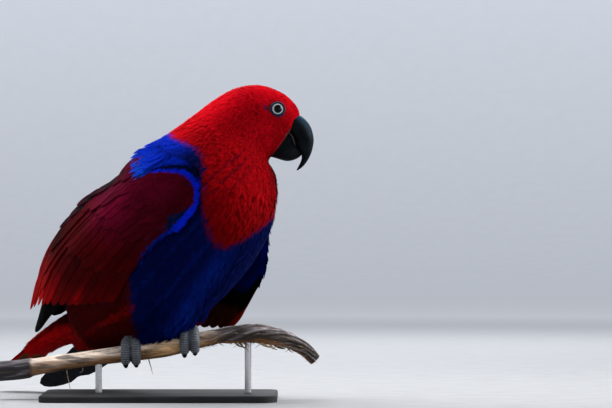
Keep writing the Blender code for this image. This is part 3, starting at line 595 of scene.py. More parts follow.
def lofted(name, rings):
    """A closed skin over rings of equally many points, drawn in to a point at each end."""
    count = len(rings[0])
    points = [p for ring in rings for p in ring]
    faces = grid_faces(len(rings), count, close=True)
    for base, ring, order in ((0, rings[0], 1), ((len(rings) - 1) * count, rings[-1], -1)):
        points.append(np.mean(ring, axis=0))
        for k in range(count):
            pair = (base + (k + 1) % count, base + k)
            faces.append((*pair[::order], len(points) - 1))
    return mesh_piece(name, points, faces)


def tube_rings(centres, radii, sides):
    """Rings round a line of world points."""
    centres = np.asarray(centres, float)
    ahead = np.gradient(centres, axis=0)
    side = None
    rings = []
    turns = full_circle(sides)
    for centre, along, radius in zip(centres, unit(ahead), radii):
        if side is None:
            side = np.cross(along, (0.3, 0.5, 0.8))
        side = unit(side - along * side.dot(along))
        up = np.cross(along, side)
        spokes = np.outer(np.cos(turns), side) + np.outer(np.sin(turns), up)
        rings.append(centre + spokes * np.reshape(radius, (-1, 1)))
    return rings


def merged(name, pieces):
    """The pieces joined into one object."""
    for other in bpy.context.selected_objects:
        other.select_set(False)
    for piece in pieces:
        piece.select_set(True)
    bpy.context.view_layer.objects.active = pieces[0]
    if len(pieces) > 1:
        bpy.ops.object.join()
    pieces[0].name = name
    pieces[0].data.name = name
    return pieces[0]


def applied(piece):
    """The piece with its modifiers applied."""
    graph = bpy.context.evaluated_depsgraph_get()
    mesh = bpy.data.meshes.new_from_object(piece.evaluated_get(graph))
    piece.modifiers.clear()
    piece.data = mesh
    return piece


def fused(piece, voxel, smoothing):
    """The piece's shells fused into one skin."""
    remesh = piece.modifiers.new("fuse", "REMESH")
    remesh.mode = "VOXEL"
    remesh.voxel_size = voxel * MM
    remesh.use_smooth_shade = True
    relax = piece.modifiers.new("relax", "SMOOTH")
    relax.iterations = smoothing
    relax.factor = 0.5
    return applied(piece)


# ---------------------------------------------------------------- materials
def new_material(name):
    material = bpy.data.materials.new(name)
    material.use_nodes = True
    return material, material.node_tree, material.node_tree.nodes["Principled BSDF"]


def feed(tree, socket, value):
    """Links an output to a socket, or sets the socket to a value."""
    if isinstance(value, bpy.types.NodeSocket):
        tree.links.new(value, socket)
    else:
        socket.default_value = value


def node(tree, kind, inputs=(), **settings):
    """A new node; inputs are (socket, value or output socket) pairs."""
    made = tree.nodes.new(kind)
    for key, value in settings.items():
        setattr(made, key, value)
    for socket, value in inputs:
        feed(tree, made.inputs[socket], value)
    return made


def math_node(tree, operation, a, b=0.0):
    return node(tree, "ShaderNodeMath", ((0, a), (1, b)), operation=operation).outputs[0]


def times(tree, a, b):
    return math_node(tree, "MULTIPLY", a, b)


def mixed(tree, share, a, b, mode="MIX"):
    """A colour mixed from a and b, each a colour or an output socket."""
    made = node(tree, "ShaderNodeMix", data_type="RGBA", blend_type=mode, clamp_result=False)
    for index, value in ((0, share), (6, a), (7, b)):
        feed(tree, made.inputs[index], (*value, 1) if isinstance(value, tuple) else value)
    return made.outputs[2]


def object_place(tree):
    """The place in object space, in metres."""
    return node(tree, "ShaderNodeTexCoord").outputs["Object"]


def noise_value(tree, scale, detail=3.0, vector=None, stretch=None):
    """A noise value over object space in metres, or over a given vector."""
    if vector is None:
        vector = object_place(tree)
    if stretch is not None:
        vector = node(tree, "ShaderNodeMapping", (("Vector", vector), ("Scale", stretch))).outputs[0]
    made = node(tree, "ShaderNodeTexNoise", (("Vector", vector), ("Scale", scale), ("Detail", detail)))
    return made.outputs[0]


def voronoi_value(tree, scale, **settings):
    """A value of cells over object space in metres."""
    inputs = (("Vector", object_place(tree)), ("Scale", scale))
    return node(tree, "ShaderNodeTexVoronoi", inputs, **settings).outputs[0]


def ramp(tree, value, low, high, first=0.0, last=1.0):
    """The value moved from low..high to first..last."""
    inputs = ((0, value), (1, low), (2, high), (3, first), (4, last))
    return node(tree, "ShaderNodeMapRange", inputs).outputs[0]


def mottle(tree, noise, first=0.0, last=1.0):
    """The middle of a noise's range moved to first..last."""
    return ramp(tree, noise, 0.3, 0.7, first, last)


def wide_mottle(tree, noise, first, last):
    """Nearly the whole of a noise's range moved to first..last."""
    return ramp(tree, noise, 0.2, 0.8, first, last)


def bump(tree, height, distance):
    inputs = (("Height", height), ("Distance", distance * MM), ("Strength", 1.0))
    return node(tree, "ShaderNodeBump", inputs).outputs[0]


def tint_of(tree):
    """The colour that the piece's points carry."""
    return node(tree, "ShaderNodeVertexColor", layer_name="Tint").outputs[0]


def shaded(tree, colour, value):
    """The colour times a value."""
    grey = node(tree, "ShaderNodeCombineColor", ((0, value), (1, value), (2, value))).outputs[0]
    return mixed(tree, 1.0, colour, grey, "MULTIPLY")


def finish_material(tree, shader, colour, roughness, relief=None, specular=None):
    """Gives a shader its colour, roughness, relief and specular level."""
    looks = {"Base Color": colour, "Roughness": roughness, "Normal": relief, "Specular IOR Level": specular}
    for socket, value in looks.items():
        if value is not None:
            feed(tree, shader.inputs[socket], value)


def plumage_material(name, roughness):
    """Small feathers: the tint of the markings, broken up by fine barbs."""
    material, tree, shader = new_material(name)
    barbs = noise_value(tree, 2200, 2.0)
    tufted = noise_value(tree, 240)
    shade = times(tree, mottle(tree, barbs, 0.84, 1.14), mottle(tree, tufted, 0.86, 1.12))
    colour = shaded(tree, tint_of(tree), shade)
    rough = wide_mottle(tree, barbs, roughness - 0.08, roughness + 0.1)
    finish_material(tree, shader, colour, rough, bump(tree, barbs, 0.12), 0.008)
    return material


def vane_material(name, roughness):
    """Long feathers: barbs slant out from a dark shaft, on a map in centimetres of the vane."""
    material, tree, shader = new_material(name)
    place = node(tree, "ShaderNodeUVMap", uv_map="Vane").outputs[0]
    across, along, _ = node(tree, "ShaderNodeSeparateXYZ", ((0, place),)).outputs
    out = math_node(tree, "ABSOLUTE", across)
    slant = math_node(tree, "SUBTRACT", along, times(tree, out, 0.9))
    barb_place = node(tree, "ShaderNodeCombineXYZ", ((0, times(tree, out, 0.12)), (1, slant))).outputs[0]
    barbs = noise_value(tree, 34.0, 2.0, barb_place)
    bands = noise_value(tree, 5.0, 2.0, barb_place)
    clouds = noise_value(tree, 160)
    shade = times(tree, mottle(tree, barbs, 0.72, 1.22), mottle(tree, bands, 0.82, 1.15))
    shade = times(tree, shade, mottle(tree, clouds, 0.85, 1.12))
    shaft = ramp(tree, out, 0.012, 0.030, 0.45, 0.0)
    colour = mixed(tree, shaft, shaded(tree, tint_of(tree), shade), (0.018, 0.008, 0.008))
    rough = wide_mottle(tree, barbs, roughness - 0.06, roughness + 0.14)
    height = math_node(tree, "ADD", barbs, times(tree, shaft, 2.4))
    finish_material(tree, shader, colour, rough, bump(tree, height, 0.16), 0.004)
    return material


def skin_material():
    """Bare skin under the coat, in the colours of the feathers over it."""
    material, tree, shader = new_material("skin")
    pits = noise_value(tree, 900, 2.0)
    # The skin is darkened to a quarter to half of the feathers' colour, painted shade under the coat.
    colour = shaded(tree, tint_of(tree), mottle(tree, pits, 0.25, 0.5))
    finish_material(tree, shader, colour, wide_mottle(tree, pits, 0.65, 0.9), bump(tree, pits, 0.25))
    return material


def horn_material(name, dark, light, roughness, grain):
    """Bill and claws: dark horn with growth lines, fine scratches and paler patches; the tint added over it
    is a painted sheen on the bill.
    """
    material, tree, shader = new_material(name)
    patches = noise_value(tree, 120, 4.0)
    lines = noise_value(tree, 90, 2.0, stretch=(1.0, 0.25, grain))
    scratches = noise_value(tree, 700, 2.0, stretch=(1.0, 1.0, 0.12))
    base = mixed(tree, ramp(tree, patches, 0.35, 0.7), dark, light)
    worn = mixed(tree, ramp(tree, lines, 0.5, 0.72, 0.0, 0.45), base, light)
    colour = mixed(tree, 1.0, worn, tint_of(tree), "ADD")
    patchy = mottle(tree, patches, roughness, roughness + 0.12)
    rough = math_node(tree, "ADD", mottle(tree, scratches, 0.0, 0.14), patchy)
    height = math_node(tree, "ADD", lines, times(tree, scratches, 0.3))
    finish_material(tree, shader, colour, rough, bump(tree, height, 0.16), 0.035)
    return material


def foot_material():
    """Scaly grey skin: small scales in relief, with pale dust in the creases of the scutes."""
    material, tree, shader = new_material("foot_skin")
    cells = voronoi_value(tree, 900.0, feature="DISTANCE_TO_EDGE")
    edge = ramp(tree, cells, 0.0, 0.12, 1.0, 0.0)
    patches = noise_value(tree, 260)
    grey = mixed(tree, mottle(tree, patches), (0.034, 0.042, 0.052), (0.066, 0.078, 0.094))
    scaled = mixed(tree, times(tree, edge, 0.45), grey, (0.12, 0.135, 0.15))
    crease = node(tree, "ShaderNodeSeparateColor", ((0, tint_of(tree)),)).outputs[0]
    colour = mixed(tree, crease, scaled, (0.30, 0.315, 0.34))
    relief = bump(tree, ramp(tree, cells, 0.0, 0.2), 0.22)
    finish_material(tree, shader, colour, mottle(tree, patches, 0.5, 0.68), relief)
    return material


def iris_material():
    """Black pupil and pale iris with fine fibres, under a clear coat."""
    material, tree, shader = new_material("iris")
    fibres = noise_value(tree, 1500)
    colour = shaded(tree, tint_of(tree), mottle(tree, fibres, 0.7, 1.12))
    finish_material(tree, shader, colour, mottle(tree, fibres, 0.10, 0.18), specular=0.04)
    shader.inputs["Coat Weight"].default_value = 0.12
    shader.inputs["Coat Roughness"].default_value = 0.03
    return material


def lid_material():
    """Bare blue-grey skin of the lids, beaded and wrinkled."""
    material, tree, shader = new_material("lids")
    beads = voronoi_value(tree, 1500.0)
    patches = noise_value(tree, 500)
    colour = mixed(tree, mottle(tree, patches), (0.003, 0.007, 0.018), (0.011, 0.020, 0.045))
    rough = ramp(tree, beads, 0.1, 0.6, 0.35, 0.6)
    finish_material(tree, shader, colour, rough, bump(tree, beads, 0.25), 0.12)
    return material


def bark_material():
    """Weathered wood: the tint of each stretch, with grain, cracks and grey weathering."""
    material, tree, shader = new_material("bark")
    grain = noise_value(tree, 230, 6.0, stretch=(0.16, 1.0, 1.0))
    fine = noise_value(tree, 900, stretch=(0.1, 1.0, 1.0))
    blotches = noise_value(tree, 70)
    crack = ramp(tree, grain, 0.38, 0.47, 1.0, 0.0)
    shade = times(tree, mottle(tree, fine, 0.6, 1.5), mottle(tree, blotches, 0.72, 1.18))
    wood = shaded(tree, tint_of(tree), shade)
    # The cracks are painted dark, for the dirt and the shade in them.
    colour = mixed(tree, times(tree, crack, 0.75), wood, (0.035, 0.022, 0.014))
    height = math_node(tree, "SUBTRACT", times(tree, fine, 0.5), crack)
    finish_material(tree, shader, colour, wide_mottle(tree, fine, 0.72, 0.95), bump(tree, height, 0.8))
    return material


def stand_material():
    """Nearly matt black powder coat with a fine orange-peel texture and faint rubbed patches."""
    material, tree, shader = new_material("stand_coat")
    peel = noise_value(tree, 1400, 2.0)
    rubbed = noise_value(tree, 28, 4.0)
    colour = mixed(tree, ramp(tree, rubbed, 0.35, 0.7), (0.020, 0.020, 0.021), (0.034, 0.034, 0.036))
    finish_material(tree, shader, colour, mottle(tree, rubbed, 0.58, 0.72), bump(tree, peel, 0.05), 0.06)
    return material


def steel_material():
    """Brushed steel, with fine rings left by turning."""
    material, tree, shader = new_material("rod_steel")
    rings = noise_value(tree, 500, stretch=(0.06, 0.06, 8.0))
    stains = noise_value(tree, 60)
    colour = mixed(tree, mottle(tree, stains), (0.46, 0.46, 0.47), (0.58, 0.58, 0.58))
    finish_material(tree, shader, colour, mottle(tree, rings, 0.22, 0.38), bump(tree, rings, 0.03))
    shader.inputs["Metallic"].default_value = 1.0
    return material


def dress(piece, material):
    """Gives a piece its material and slot, and lets it ride on the part."""
    piece.data.materials.clear()
    piece.data.materials.append(material)
    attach(piece, "root")
    return piece


# ---------------------------------------------------------------- markings
# The red of head and breast ends at a station that changes round the trunk: degrees, station
RED_EDGE = np.array((
    (0, 7.85), (45, 7.82), (73, 7.9), (86, 7.75), (99, 7.4), (115, 6.85), (125, 6.37), (150, 6.45),
    (165, 6.4), (180, 6.15), (190, 5.88), (201, 5.60), (212, 5.68), (223, 5.87), (235, 6.22),
    (245, 6.64), (261, 7.34), (274, 7.75), (287, 7.9), (315, 7.82), (360, 7.85),
))
BACK_EDGE = 6.2  # the mantle's blue ends here, over the back
# The blue of the belly ends behind, on each side
VENT_EDGE = np.array(((0, 2.3), (15, 2.45), (24, 2.62), (40, 3.04), (54, 3.46), (75, 4.1), (180, 4.1)))
THIGH_STREAK = 191.0  # degrees round the trunk of the lighter streak over the far thigh


def trunk_wave(seed, fine, along, p, q):
    """A seeded wave over the trunk, in fine waves round it and slower ones along it."""
    return wave(seed, fine * np.cos(q), fine * np.sin(q), along * p)


def clumps(p, q):
    """From -1 to 1 over the trunk: how the small feathers gather into soft ridges along the body."""
    return trunk_wave(11, 7, 1.5, p, q)


def red_colour(p, q, below):
    """Brightest on top of the head and nape, where a highlight is painted in, dark at the bib's end, with
    painted shade on the cheek.
    """
    red = blend(BREAST_RED, HEAD_RED, smooth(8.2, 11.4, p + 1.3 * np.cos(q)))
    red = blend(BIB_RED, red, smooth(5.6, 7.3, p))
    # Painted highlight along the top of the head and nape, and painted shade on the cheek.
    lit = smooth(0.2, 0.9, np.cos(q)) * (0.50 + 0.50 * smooth(11.5, 9.5, p))
    cheek_shade = smooth(12.0, 13.4, p) * smooth(118, 88, below)
    return red * (1 + lit)[..., None] * (1 - 0.32 * cheek_shade)[..., None]


def belly_colour(p, q, degrees):
    """Dark blue in strands, with a lighter streak over the far thigh."""
    place = (degrees - THIGH_STREAK - 4 * (p - 4)) / 9
    streak = np.exp(-(place**2)) * smooth(2.9, 3.6, p) * smooth(5.9, 5.2, p)
    strands = smooth(0.15, 0.6, trunk_wave(14, 22, 0.7, p, q))
    # The ridges of the small feathers are painted a lighter blue, as light on them.
    return blend(BELLY_BLUE, THIGH_BLUE, streak + 0.25 * smooth(0.1, 0.8, clumps(p, q)) + 0.4 * strands)


def vent_colour(p, q, below):
    """Dark red with brighter streaks, and nearly the tail's red where the tail begins."""
    streaks = smooth(0.25, 0.7, trunk_wave(12, 26, 0.5, p, q) + 0.15 * smooth(1.5, 0.0, p))
    vent = blend(VENT_RED, STREAK_RED, 0.38 * streaks)
    return blend(vent, TAIL_RED, 0.34 * smooth(0.9, 0.1, p) * smooth(92, 62, below))


def trunk_colour(p, q):
    """The plumage's colour at a station and an angle of the trunk."""
    degrees = np.degrees(q) % 360
    below = np.abs(degrees - 180)
    blue = blend(belly_colour(p, q, degrees), MANTLE_BLUE, smooth(95, 125, below))
    body = blend(blue, BACK_MAROON, smooth(0.15, -0.15, p - BACK_EDGE) * smooth(100, 125, below))
    vent_edge = np.interp(below, *VENT_EDGE.T)
    body = blend(body, vent_colour(p, q, below), smooth(0.10, -0.10, p - vent_edge))
    red_edge = np.interp(degrees, *RED_EDGE.T)
    colour = blend(body, red_colour(p, q, below), smooth(-0.13, 0.13, p - red_edge))
    # Painted shade in the dark creases between the ruffled feathers of the neck's sides.
    frayed = smooth(40, 60, below) * smooth(110, 90, below) * smooth(9.3, 8.0, p) * smooth(6.0, 6.8, p)
    dark = smooth(0.0, 0.35, trunk_wave(13, 12, 1.1, p, q))
    colour = blend(colour, CREASE_SHADE_RED, 0.85 * frayed * dark)
    # Painted light and shade: lighter on the ridges of the small feathers, darker in the hollows between
    # them.
    return colour * (1 + 0.18 * clumps(p, q))[..., None]


def thigh_colour(p, q):
    """Blue in front, dark red behind."""
    blue = blend(BELLY_BLUE, THIGH_BLUE, 0.5 + 0.5 * np.sin(5 * q))
    return blend(VENT_RED, blue, smooth(-0.05, 0.25, np.cos(q) + 0 * p))


# ---------------------------------------------------------------- small feathers
def scatter(surface, density, seed, span, cells=170):
    """Roots spread evenly over a surface, density(p, q) of them to each square millimetre."""
    draw = np.random.default_rng(seed)
    p0, p1, q0, q1 = span
    p_edges, q_edges = np.linspace(p0, p1, cells + 1), np.linspace(q0, q1, cells + 1)
    corners = surface.at(*np.meshgrid(p_edges, q_edges, indexing="ij"))
    first = corners[1:, 1:] - corners[:-1, :-1]
    second = corners[1:, :-1] - corners[:-1, 1:]
    area = np.linalg.norm(np.cross(first, second), axis=-1) / 2
    p_low, q_low = np.meshgrid(p_edges[:-1], q_edges[:-1], indexing="ij")
    weight = area * density(p_low, q_low)
    order = np.arange(cells * cells).reshape(cells, cells)
    order[1::2] = order[1::2, ::-1]
    order = order.ravel()
    total = np.cumsum(weight.ravel()[order])
    count = int(total[-1])
    picks = (np.arange(count) + draw.random(count)) * total[-1] / count
    cell = order[np.minimum(np.searchsorted(total, picks), len(order) - 1)]
    p = p_low.ravel()[cell] + draw.random(count) * (p_edges[1] - p_edges[0])
    q = q_low.ravel()[cell] + draw.random(count) * (q_edges[1] - q_edges[0])
    return p, q


def feather_lines(surface, p, q, length, sway, low, high, shares):
    """Where each feather lies: places, sides and normals at shares of its length.

    It runs along the surface, turned by sway, and rises over it from low to high. The last two
    arrays handed back are the surface's coordinates under the tips.
    """
    p, q = p.copy(), q.copy()
    places, across, normals = [], [], []
    done = 0.0
    for share in shares:
        if share > done:
            _, down, round_it, _ = surface.frame(p, q)
            step = (share - done) * length
            p += surface.run * np.cos(sway) * step / np.maximum(np.linalg.norm(down, axis=-1), 2.0)
            q += np.sin(sway) * step / np.maximum(np.linalg.norm(round_it, axis=-1), 2.0)
            done = share
        height = low + (high - low) * share
        place, down, round_it, normal = surface.frame(p, q, height)
        c, s = np.cos(sway)[:, None], np.sin(sway)[:, None]
        way = unit(surface.run * unit(down) * c + unit(round_it) * s)
        places.append(place)
        normals.append(normal)
        across.append(unit(np.cross(normal, way)))
    return np.stack(places, 1), np.stack(across, 1), np.stack(normals, 1), p, q


SHARES = (0.0, 0.4, 0.75, 1.0)  # rows of a small feather; the last is the tips of its barbs
WIDTHS = (0.45, 1.0, 0.9, 0.72)
# The shades from root to tip are partly the dark down at the root and partly painted shade under the
# feathers that lie over it.
SHADES = (0.5, 0.8, 1.0, 1.12)  # darker down at the root, lighter tips


def barb_faces(count, ring):
    """Sizes and corners of the faces of count barbs, each of quads that end in a triangle."""
    last = len(SHARES) - 1
    number = (np.arange(count) * ring)[:, None]
    quads = [number + np.array((2 * r, 2 * r + 1, 2 * r + 3, 2 * r + 2)) for r in range(last - 1)]
    tips = number + np.array((2 * last - 2, 2 * last - 1, 2 * last))
    sizes = np.concatenate([np.full(len(quads) * count, 4), np.full(count, 3)])
    return sizes, np.concatenate([np.concatenate(quads).ravel(), tips.ravel()])


def bake_places(span, p, q, marks):
    """Places on the bake map: each feather's root within the span, and its points close round it."""
    p0, p1, q0, q1 = span
    root = np.stack([(p - p0) / (p1 - p0), (q - q0) / (q1 - q0)], -1) * 0.98 + 0.01
    return np.clip(root[:, None, None] + PATCH * marks, 0, 1).reshape(-1, 2)


def tufts(name, surface, span, roots, size, barbs, paint, seed, heights, sway=0.16, lean=0.0, base=0.0):
    """Small feathers in one mesh, each of a few barbs that part towards its tip.

    span is the part of the surface that the bake map covers, roots the feathers' coordinates, size
    their lengths and half widths, and heights those of their roots and tips over base.
    paint(p, q, points) gives each feather's colour at its tip.
    """
    draw = np.random.default_rng(seed)
    p, q = roots
    low, high = heights
    count = len(p)
    length = size[0] * draw.uniform(0.82, 1.16, count)
    half = size[1] * draw.uniform(0.85, 1.15, count)
    turn = draw.normal(0, sway, count) + lean
    lift = high * draw.uniform(0.5, 1.5, count)
    lines = feather_lines(surface, p, q, length, turn, low + base, lift + base, SHARES)
    places, across, normals, tip_p, tip_q = lines
    colours = paint(tip_p, tip_q, places[:, -1])
    widths = half[:, None] * np.array(WIDTHS)
    spots = (np.arange(barbs) - (barbs - 1) / 2) / max((barbs - 1) / 2, 1) * (1 - 0.8 / barbs)
    spots = spots + draw.uniform(-0.5, 0.5, (count, barbs)) / barbs
    thick = 1.25 / barbs
    last = len(SHARES) - 1
    points, shades, marks = [], [], []

    def lay(row, place, out):
        """One point of every barb: beside the feather's line, and lower towards its edges."""
        shift = (out * widths[:, row, None])[..., None] * across[:, row, None]
        sag = (0.35 * spots**2 * widths[:, row, None])[..., None] * normals[:, row, None]
        points.append(place + shift - sag)
        shades.append(np.full((count, barbs), SHADES[row]))
        marks.append(np.stack([out / 2, np.full_like(out, SHARES[row] - 0.5)], -1))

    for row in range(last):
        for hand in (-1, 1):
            lay(row, places[:, row, None], spots + hand * thick)
    reach = draw.uniform(0.45, 1.2, (count, barbs)) * (1 - 0.3 * spots**2)
    tip = places[:, last - 1, None] + (places[:, last] - places[:, last - 1])[:, None] * reach[..., None]
    lay(last, tip, spots)
    faces = barb_faces(count * barbs, len(points))
    piece = array_piece(name, np.stack(points, 2).reshape(-1, 3), *faces)
    each = draw.normal(1.0, 0.07, (count, 1, 1)) * draw.normal(1.0, 0.06, (count, barbs, 1))
    shade = (np.stack(shades, 2) * each)[..., None]
    add_tint(piece, np.clip(colours[:, None, None] * shade, 0, 1).reshape(-1, 3))
    add_map(piece, "OFBake", bake_places(span, p, q, np.stack(marks, 2)))
    return piece


def bvh(piece):
    bpy.context.view_layer.update()
    return BVHTree.FromObject(piece, bpy.context.evaluated_depsgraph_get())


def kept(mask, *arrays):
    return [a[mask] for a in arrays]


def beside_eye(points, centre, outward):
    """Offsets from an eye's middle, their heights along its axis and their distances from the axis."""
    offset = points - centre
    height = offset @ outward
    return offset, height, np.linalg.norm(offset - height[:, None] * outward, axis=1)


def away_from_eyes(points, eyes, radius):
    """True for points further than radius from the eyes' middles, seen along each eye's axis."""
    far = np.ones(len(points), bool)
    for centre, outward in eyes.values():
        _, height, beside = beside_eye(points, centre, outward)
        far &= (beside > radius) | (height < 0)
    return far


def near_eyes(points, eyes):
    """1 on the small blue feathers round each eye and on its mark, fading to 0 outside them."""
    share = np.zeros(len(points))
    for centre, outward in eyes.values():
        offset, height, beside = beside_eye(points, centre, outward)
        share = np.maximum(share, smooth(RING_RADIUS, RING_RADIUS - 1.2, beside) * (height > 0))
        across, up = around(outward)
        behind = np.abs(offset @ across) - MARK[0]
        rear = offset @ (1.0, 0.0, 0.0) < 0
        mark = np.hypot(behind, (offset @ up - MARK[1]) / 2)
        share = np.maximum(share, 0.8 * smooth(MARK[2], 0.5, mark) * (height > -4) * rear)
    return share


def under_wing(points, normals, sheets):
    """True where a folded wing lies close over the point."""
    covered = np.zeros(len(points), bool)
    for k, (place, normal) in enumerate(zip(points, normals)):
        start, way = Vector(place * MM), Vector(normal)
        covered[k] = any(sheet.ray_cast(start, way, COVER_REACH * MM)[0] is not None for sheet in sheets)
    return covered


def wing_sheet(side):
    """The middle of a wing as a tree, to tell what lies hidden under it."""
    p, q = grid((0.10, 0.80, 0.14, 0.86), 16, 16)
    points = Wing(side).at(p, q).reshape(-1, 3) * MM
    return BVHTree.FromPolygons(points.tolist(), grid_faces(16, 16))


# Coats of the trunk: stations, length and half width at the first and last, barbs, roots to a square
# millimetre, depth of the root, height of the tip
TRUNK_COATS = {
    "coat_face": (12.0, FACE, (5.8, 3.4), (0.72, 0.50), 4, 1.9, -1.5, 0.32),
    "coat_head": (9.6, 12.0, (9.6, 5.8), (1.05, 0.72), 5, 1.05, -1.8, 0.42),
    "coat_neck": (7.7, 9.6, (15.0, 9.6), (1.5, 1.05), 6, 0.62, -2.2, 0.8),
    "coat_breast": (5.8, 7.7, (18.0, 15.0), (2.1, 1.5), 6, 0.40, -2.6, 1.2),
    "coat_belly": (3.2, 5.8, (22.0, 18.0), (2.6, 2.1), 7, 0.25, -3.0, 1.5),
    "coat_vent": (0.0, 3.2, (24.0, 22.0), (2.6, 2.6), 7, 0.25, -3.0, 1.6),
}
# Long feathers of the mantle on each side: stations, degrees from the back, then as above
CAPE = (6.5, 7.75, 10.0, 96.0, 23.0, 1.7, 7, 0.36, -0.6, 3.2)


def add_trunk_coats(material, eyes):
    """Small feathers from the face to the vent, where no wing hides them."""
    sheets = [wing_sheet(side) for side in SIDES]

    def paint(p, q, points):
        return blend(trunk_colour(p, q), EYE_BLUE, near_eyes(points, eyes))

    for seed, (name, row) in enumerate(TRUNK_COATS.items(), 30):
        start, end, lengths, halves, barbs, thickness, low, high = row
        span = (start, end, 0.0, FULL_TURN)
        p, q = scatter(TRUNK, lambda p, q: thickness, seed, span)
        points, _, _, normals = TRUNK.frame(p, q)
        seen = away_from_eyes(points, eyes, BARE_RADIUS) & ~under_wing(points, normals, sheets)
        p, q, points = kept(seen, p, q, points)
        share = (p - start) / (end - start)
        ring = near_eyes(points, eyes)
        size = (between(lengths, share) * (1 - 0.5 * ring), between(halves, share) * (1 - 0.4 * ring))
        stand = high * (1 + 0.55 * clumps(p, q))
        below = np.abs(np.degrees(q) - 188)
        stand = stand + 4.5 * smooth(26, 12, below) * smooth(2.6, 3.2, p) * smooth(4.8, 4.2, p)
        draw = np.random.default_rng(seed + 50)
        lean = 0.14 * trunk_wave(seed, 5, 1, p, q) + draw.normal(0, 0.05, len(p))
        piece = tufts(name, TRUNK, span, (p, q), size, barbs, paint, seed + 100, (low, stand), lean=lean)
        dress(piece, material)


def add_cape(material):
    """The blue feathers that sweep from the nape over the tops of the wings."""
    start, end, first, last, length, half, barbs, thickness, low, high = CAPE

    def paint(p, q, points):
        return trunk_colour(np.minimum(p, 7.4), q)

    for side, sign in SIDES.items():
        angles = sorted(math.radians(sign * a) % FULL_TURN for a in (first, last))
        span = (start, end, *angles)
        roots = scatter(TRUNK, lambda p, q: thickness, 45 + sign, span, cells=60)
        piece = tufts(
            "coat_cape_" + side, TRUNK, span, roots, (length, half), barbs, paint, 47 + sign, (low, high),
            sway=0.12, lean=-0.12 * sign,
        )
        dress(piece, material)


def add_thigh_coats(material, skin_tree):
    """Small feathers on the thighs, where they stand out of the belly."""
    def paint(p, q, points):
        return thigh_colour(p, q)

    for seed, side in enumerate(SIDES, 60):
        surface = Thigh(side)
        span = (0.4, len(surface.rows) - 1.25, 0.0, FULL_TURN)
        p, q = scatter(surface, lambda p, q: 0.24 + 0.10 * p, seed, span, cells=60)
        outside = np.array([is_outside(skin_tree, place) for place in surface.at(p, q)])
        p, q = kept(outside, p, q)
        size = (14.0 - 1.9 * p, 2.6 - 0.4 * p)
        piece = tufts(
            "coat_thigh_" + side, surface, span, (p, q), size,
            barbs=6, paint=paint, seed=seed + 9, heights=(-2.4, 1.0),
        )
        dress(piece, material)


def is_outside(tree, place):
    """True if the nearest point of a closed surface faces the place."""
    start = Vector(place * MM)
    hit, normal, _, _ = tree.find_nearest(start)
    return (start - hit).dot(normal) > 0


# ---------------------------------------------------------------- skin
def coat_depth(p):
    """How far the skin lies inside the plumage's outline: deep on the body, thin on the face."""
    return 1.0 + 1.6 * smooth(14.0, 6.0, p)


def add_skin():
    """One skin for head, neck, body and thighs."""
    p, q = grid(TRUNK.span, 150, 120, closed=True)
    shells = [lofted("skin", TRUNK.at(p, q, -coat_depth(p)))]
    samples = [(TRUNK, TRUNK.span, trunk_colour)]
    for side in SIDES:
        surface = Thigh(side)
        p, q = grid(surface.span, 24, 40, closed=True)
        shells.append(lofted("thigh", surface.at(p, q, -1.8 + 0.3 * p)))
        samples.append((surface, (1.0, 4.0, 0.0, FULL_TURN), thigh_colour))
    skin = fused(merged("skin", shells), voxel=1.3, smoothing=3)
    places, colours = [], []
    for surface, span, colour in samples:
        p, q = (a.ravel() for a in grid(span, 120, 140))
        places.append(surface.at(p, q))
        colours.append(colour(p, q))
    places, colours = np.concatenate(places) * MM, np.concatenate(colours)
    tree = KDTree(len(places))
    for k, place in enumerate(places):
        tree.insert(place, k)
    tree.balance()
    add_tint(skin, np.array([colours[tree.find(v.co)[1]] for v in skin.data.vertices]))
    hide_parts("head", "neck", "torso", "leg_left", "leg_right")
    return dress(skin, skin_material())


# ---------------------------------------------------------------- long feathers
VANE_ROWS = 21
VANE_COLUMNS = 11
VANE_THICK = 0.25


def vane_shape(root, blunt):
    """Shares of the length and of the half width, from a narrow root to a round tip."""
    s = 1 - (1 - np.linspace(0, 1, VANE_ROWS)) ** 1.45
    swell = root + (1 - root) * smooth(0.0, 0.38, s)
    tip = np.sqrt(np.clip(1 - (np.clip(s - blunt, 0, 1) / (1 - blunt)) ** 2, 0, 1))
    return s, swell * np.maximum(tip, 0.04)


def ragged(draw, rows):
    """Shares of the half width at each row on both sides, with a few parted barbs."""
    edges = 1 + draw.normal(0, 0.012, (rows, 2))
    for _ in range(draw.integers(0, 4)):
        edges[draw.integers(8, rows - 2), draw.integers(0, 2)] *= draw.uniform(0.74, 0.92)
    return edges


def vane_web(draw, root, blunt):
    """Shares of a vane's length and half width, its columns, and how far out its points are."""
    s, width = vane_shape(root, blunt)
    edges = ragged(draw, len(s))
    out = np.linspace(-1, 1, VANE_COLUMNS)
    reach = width[:, None] * np.where(out < 0, -out * edges[:, :1], out * edges[:, 1:]) * np.sign(out)
    return s, width, out, reach


def closed_vane(middle, normal, half_mm, length_mm, top_tint, under_tint):
    """Points, faces, tints and vane map of a thin feather round a grid of middle points."""
    rows, columns = middle.shape[:2]
    thin = np.full((rows, columns, 1), VANE_THICK / 2)
    thin[:, [0, -1]] *= 0.3
    thin[-1] *= 0.3
    points, faces = slab(middle + normal * thin, middle - normal * thin)
    out = np.linspace(-1, 1, columns) * half_mm[:, None] / 10
    place = np.stack(np.broadcast_arrays(out, (length_mm / 10)[:, None]), -1).reshape(-1, 2)
    tints = np.concatenate([top_tint.reshape(-1, 3), under_tint.reshape(-1, 3)])
    return points, faces, tints, np.concatenate([place, place])


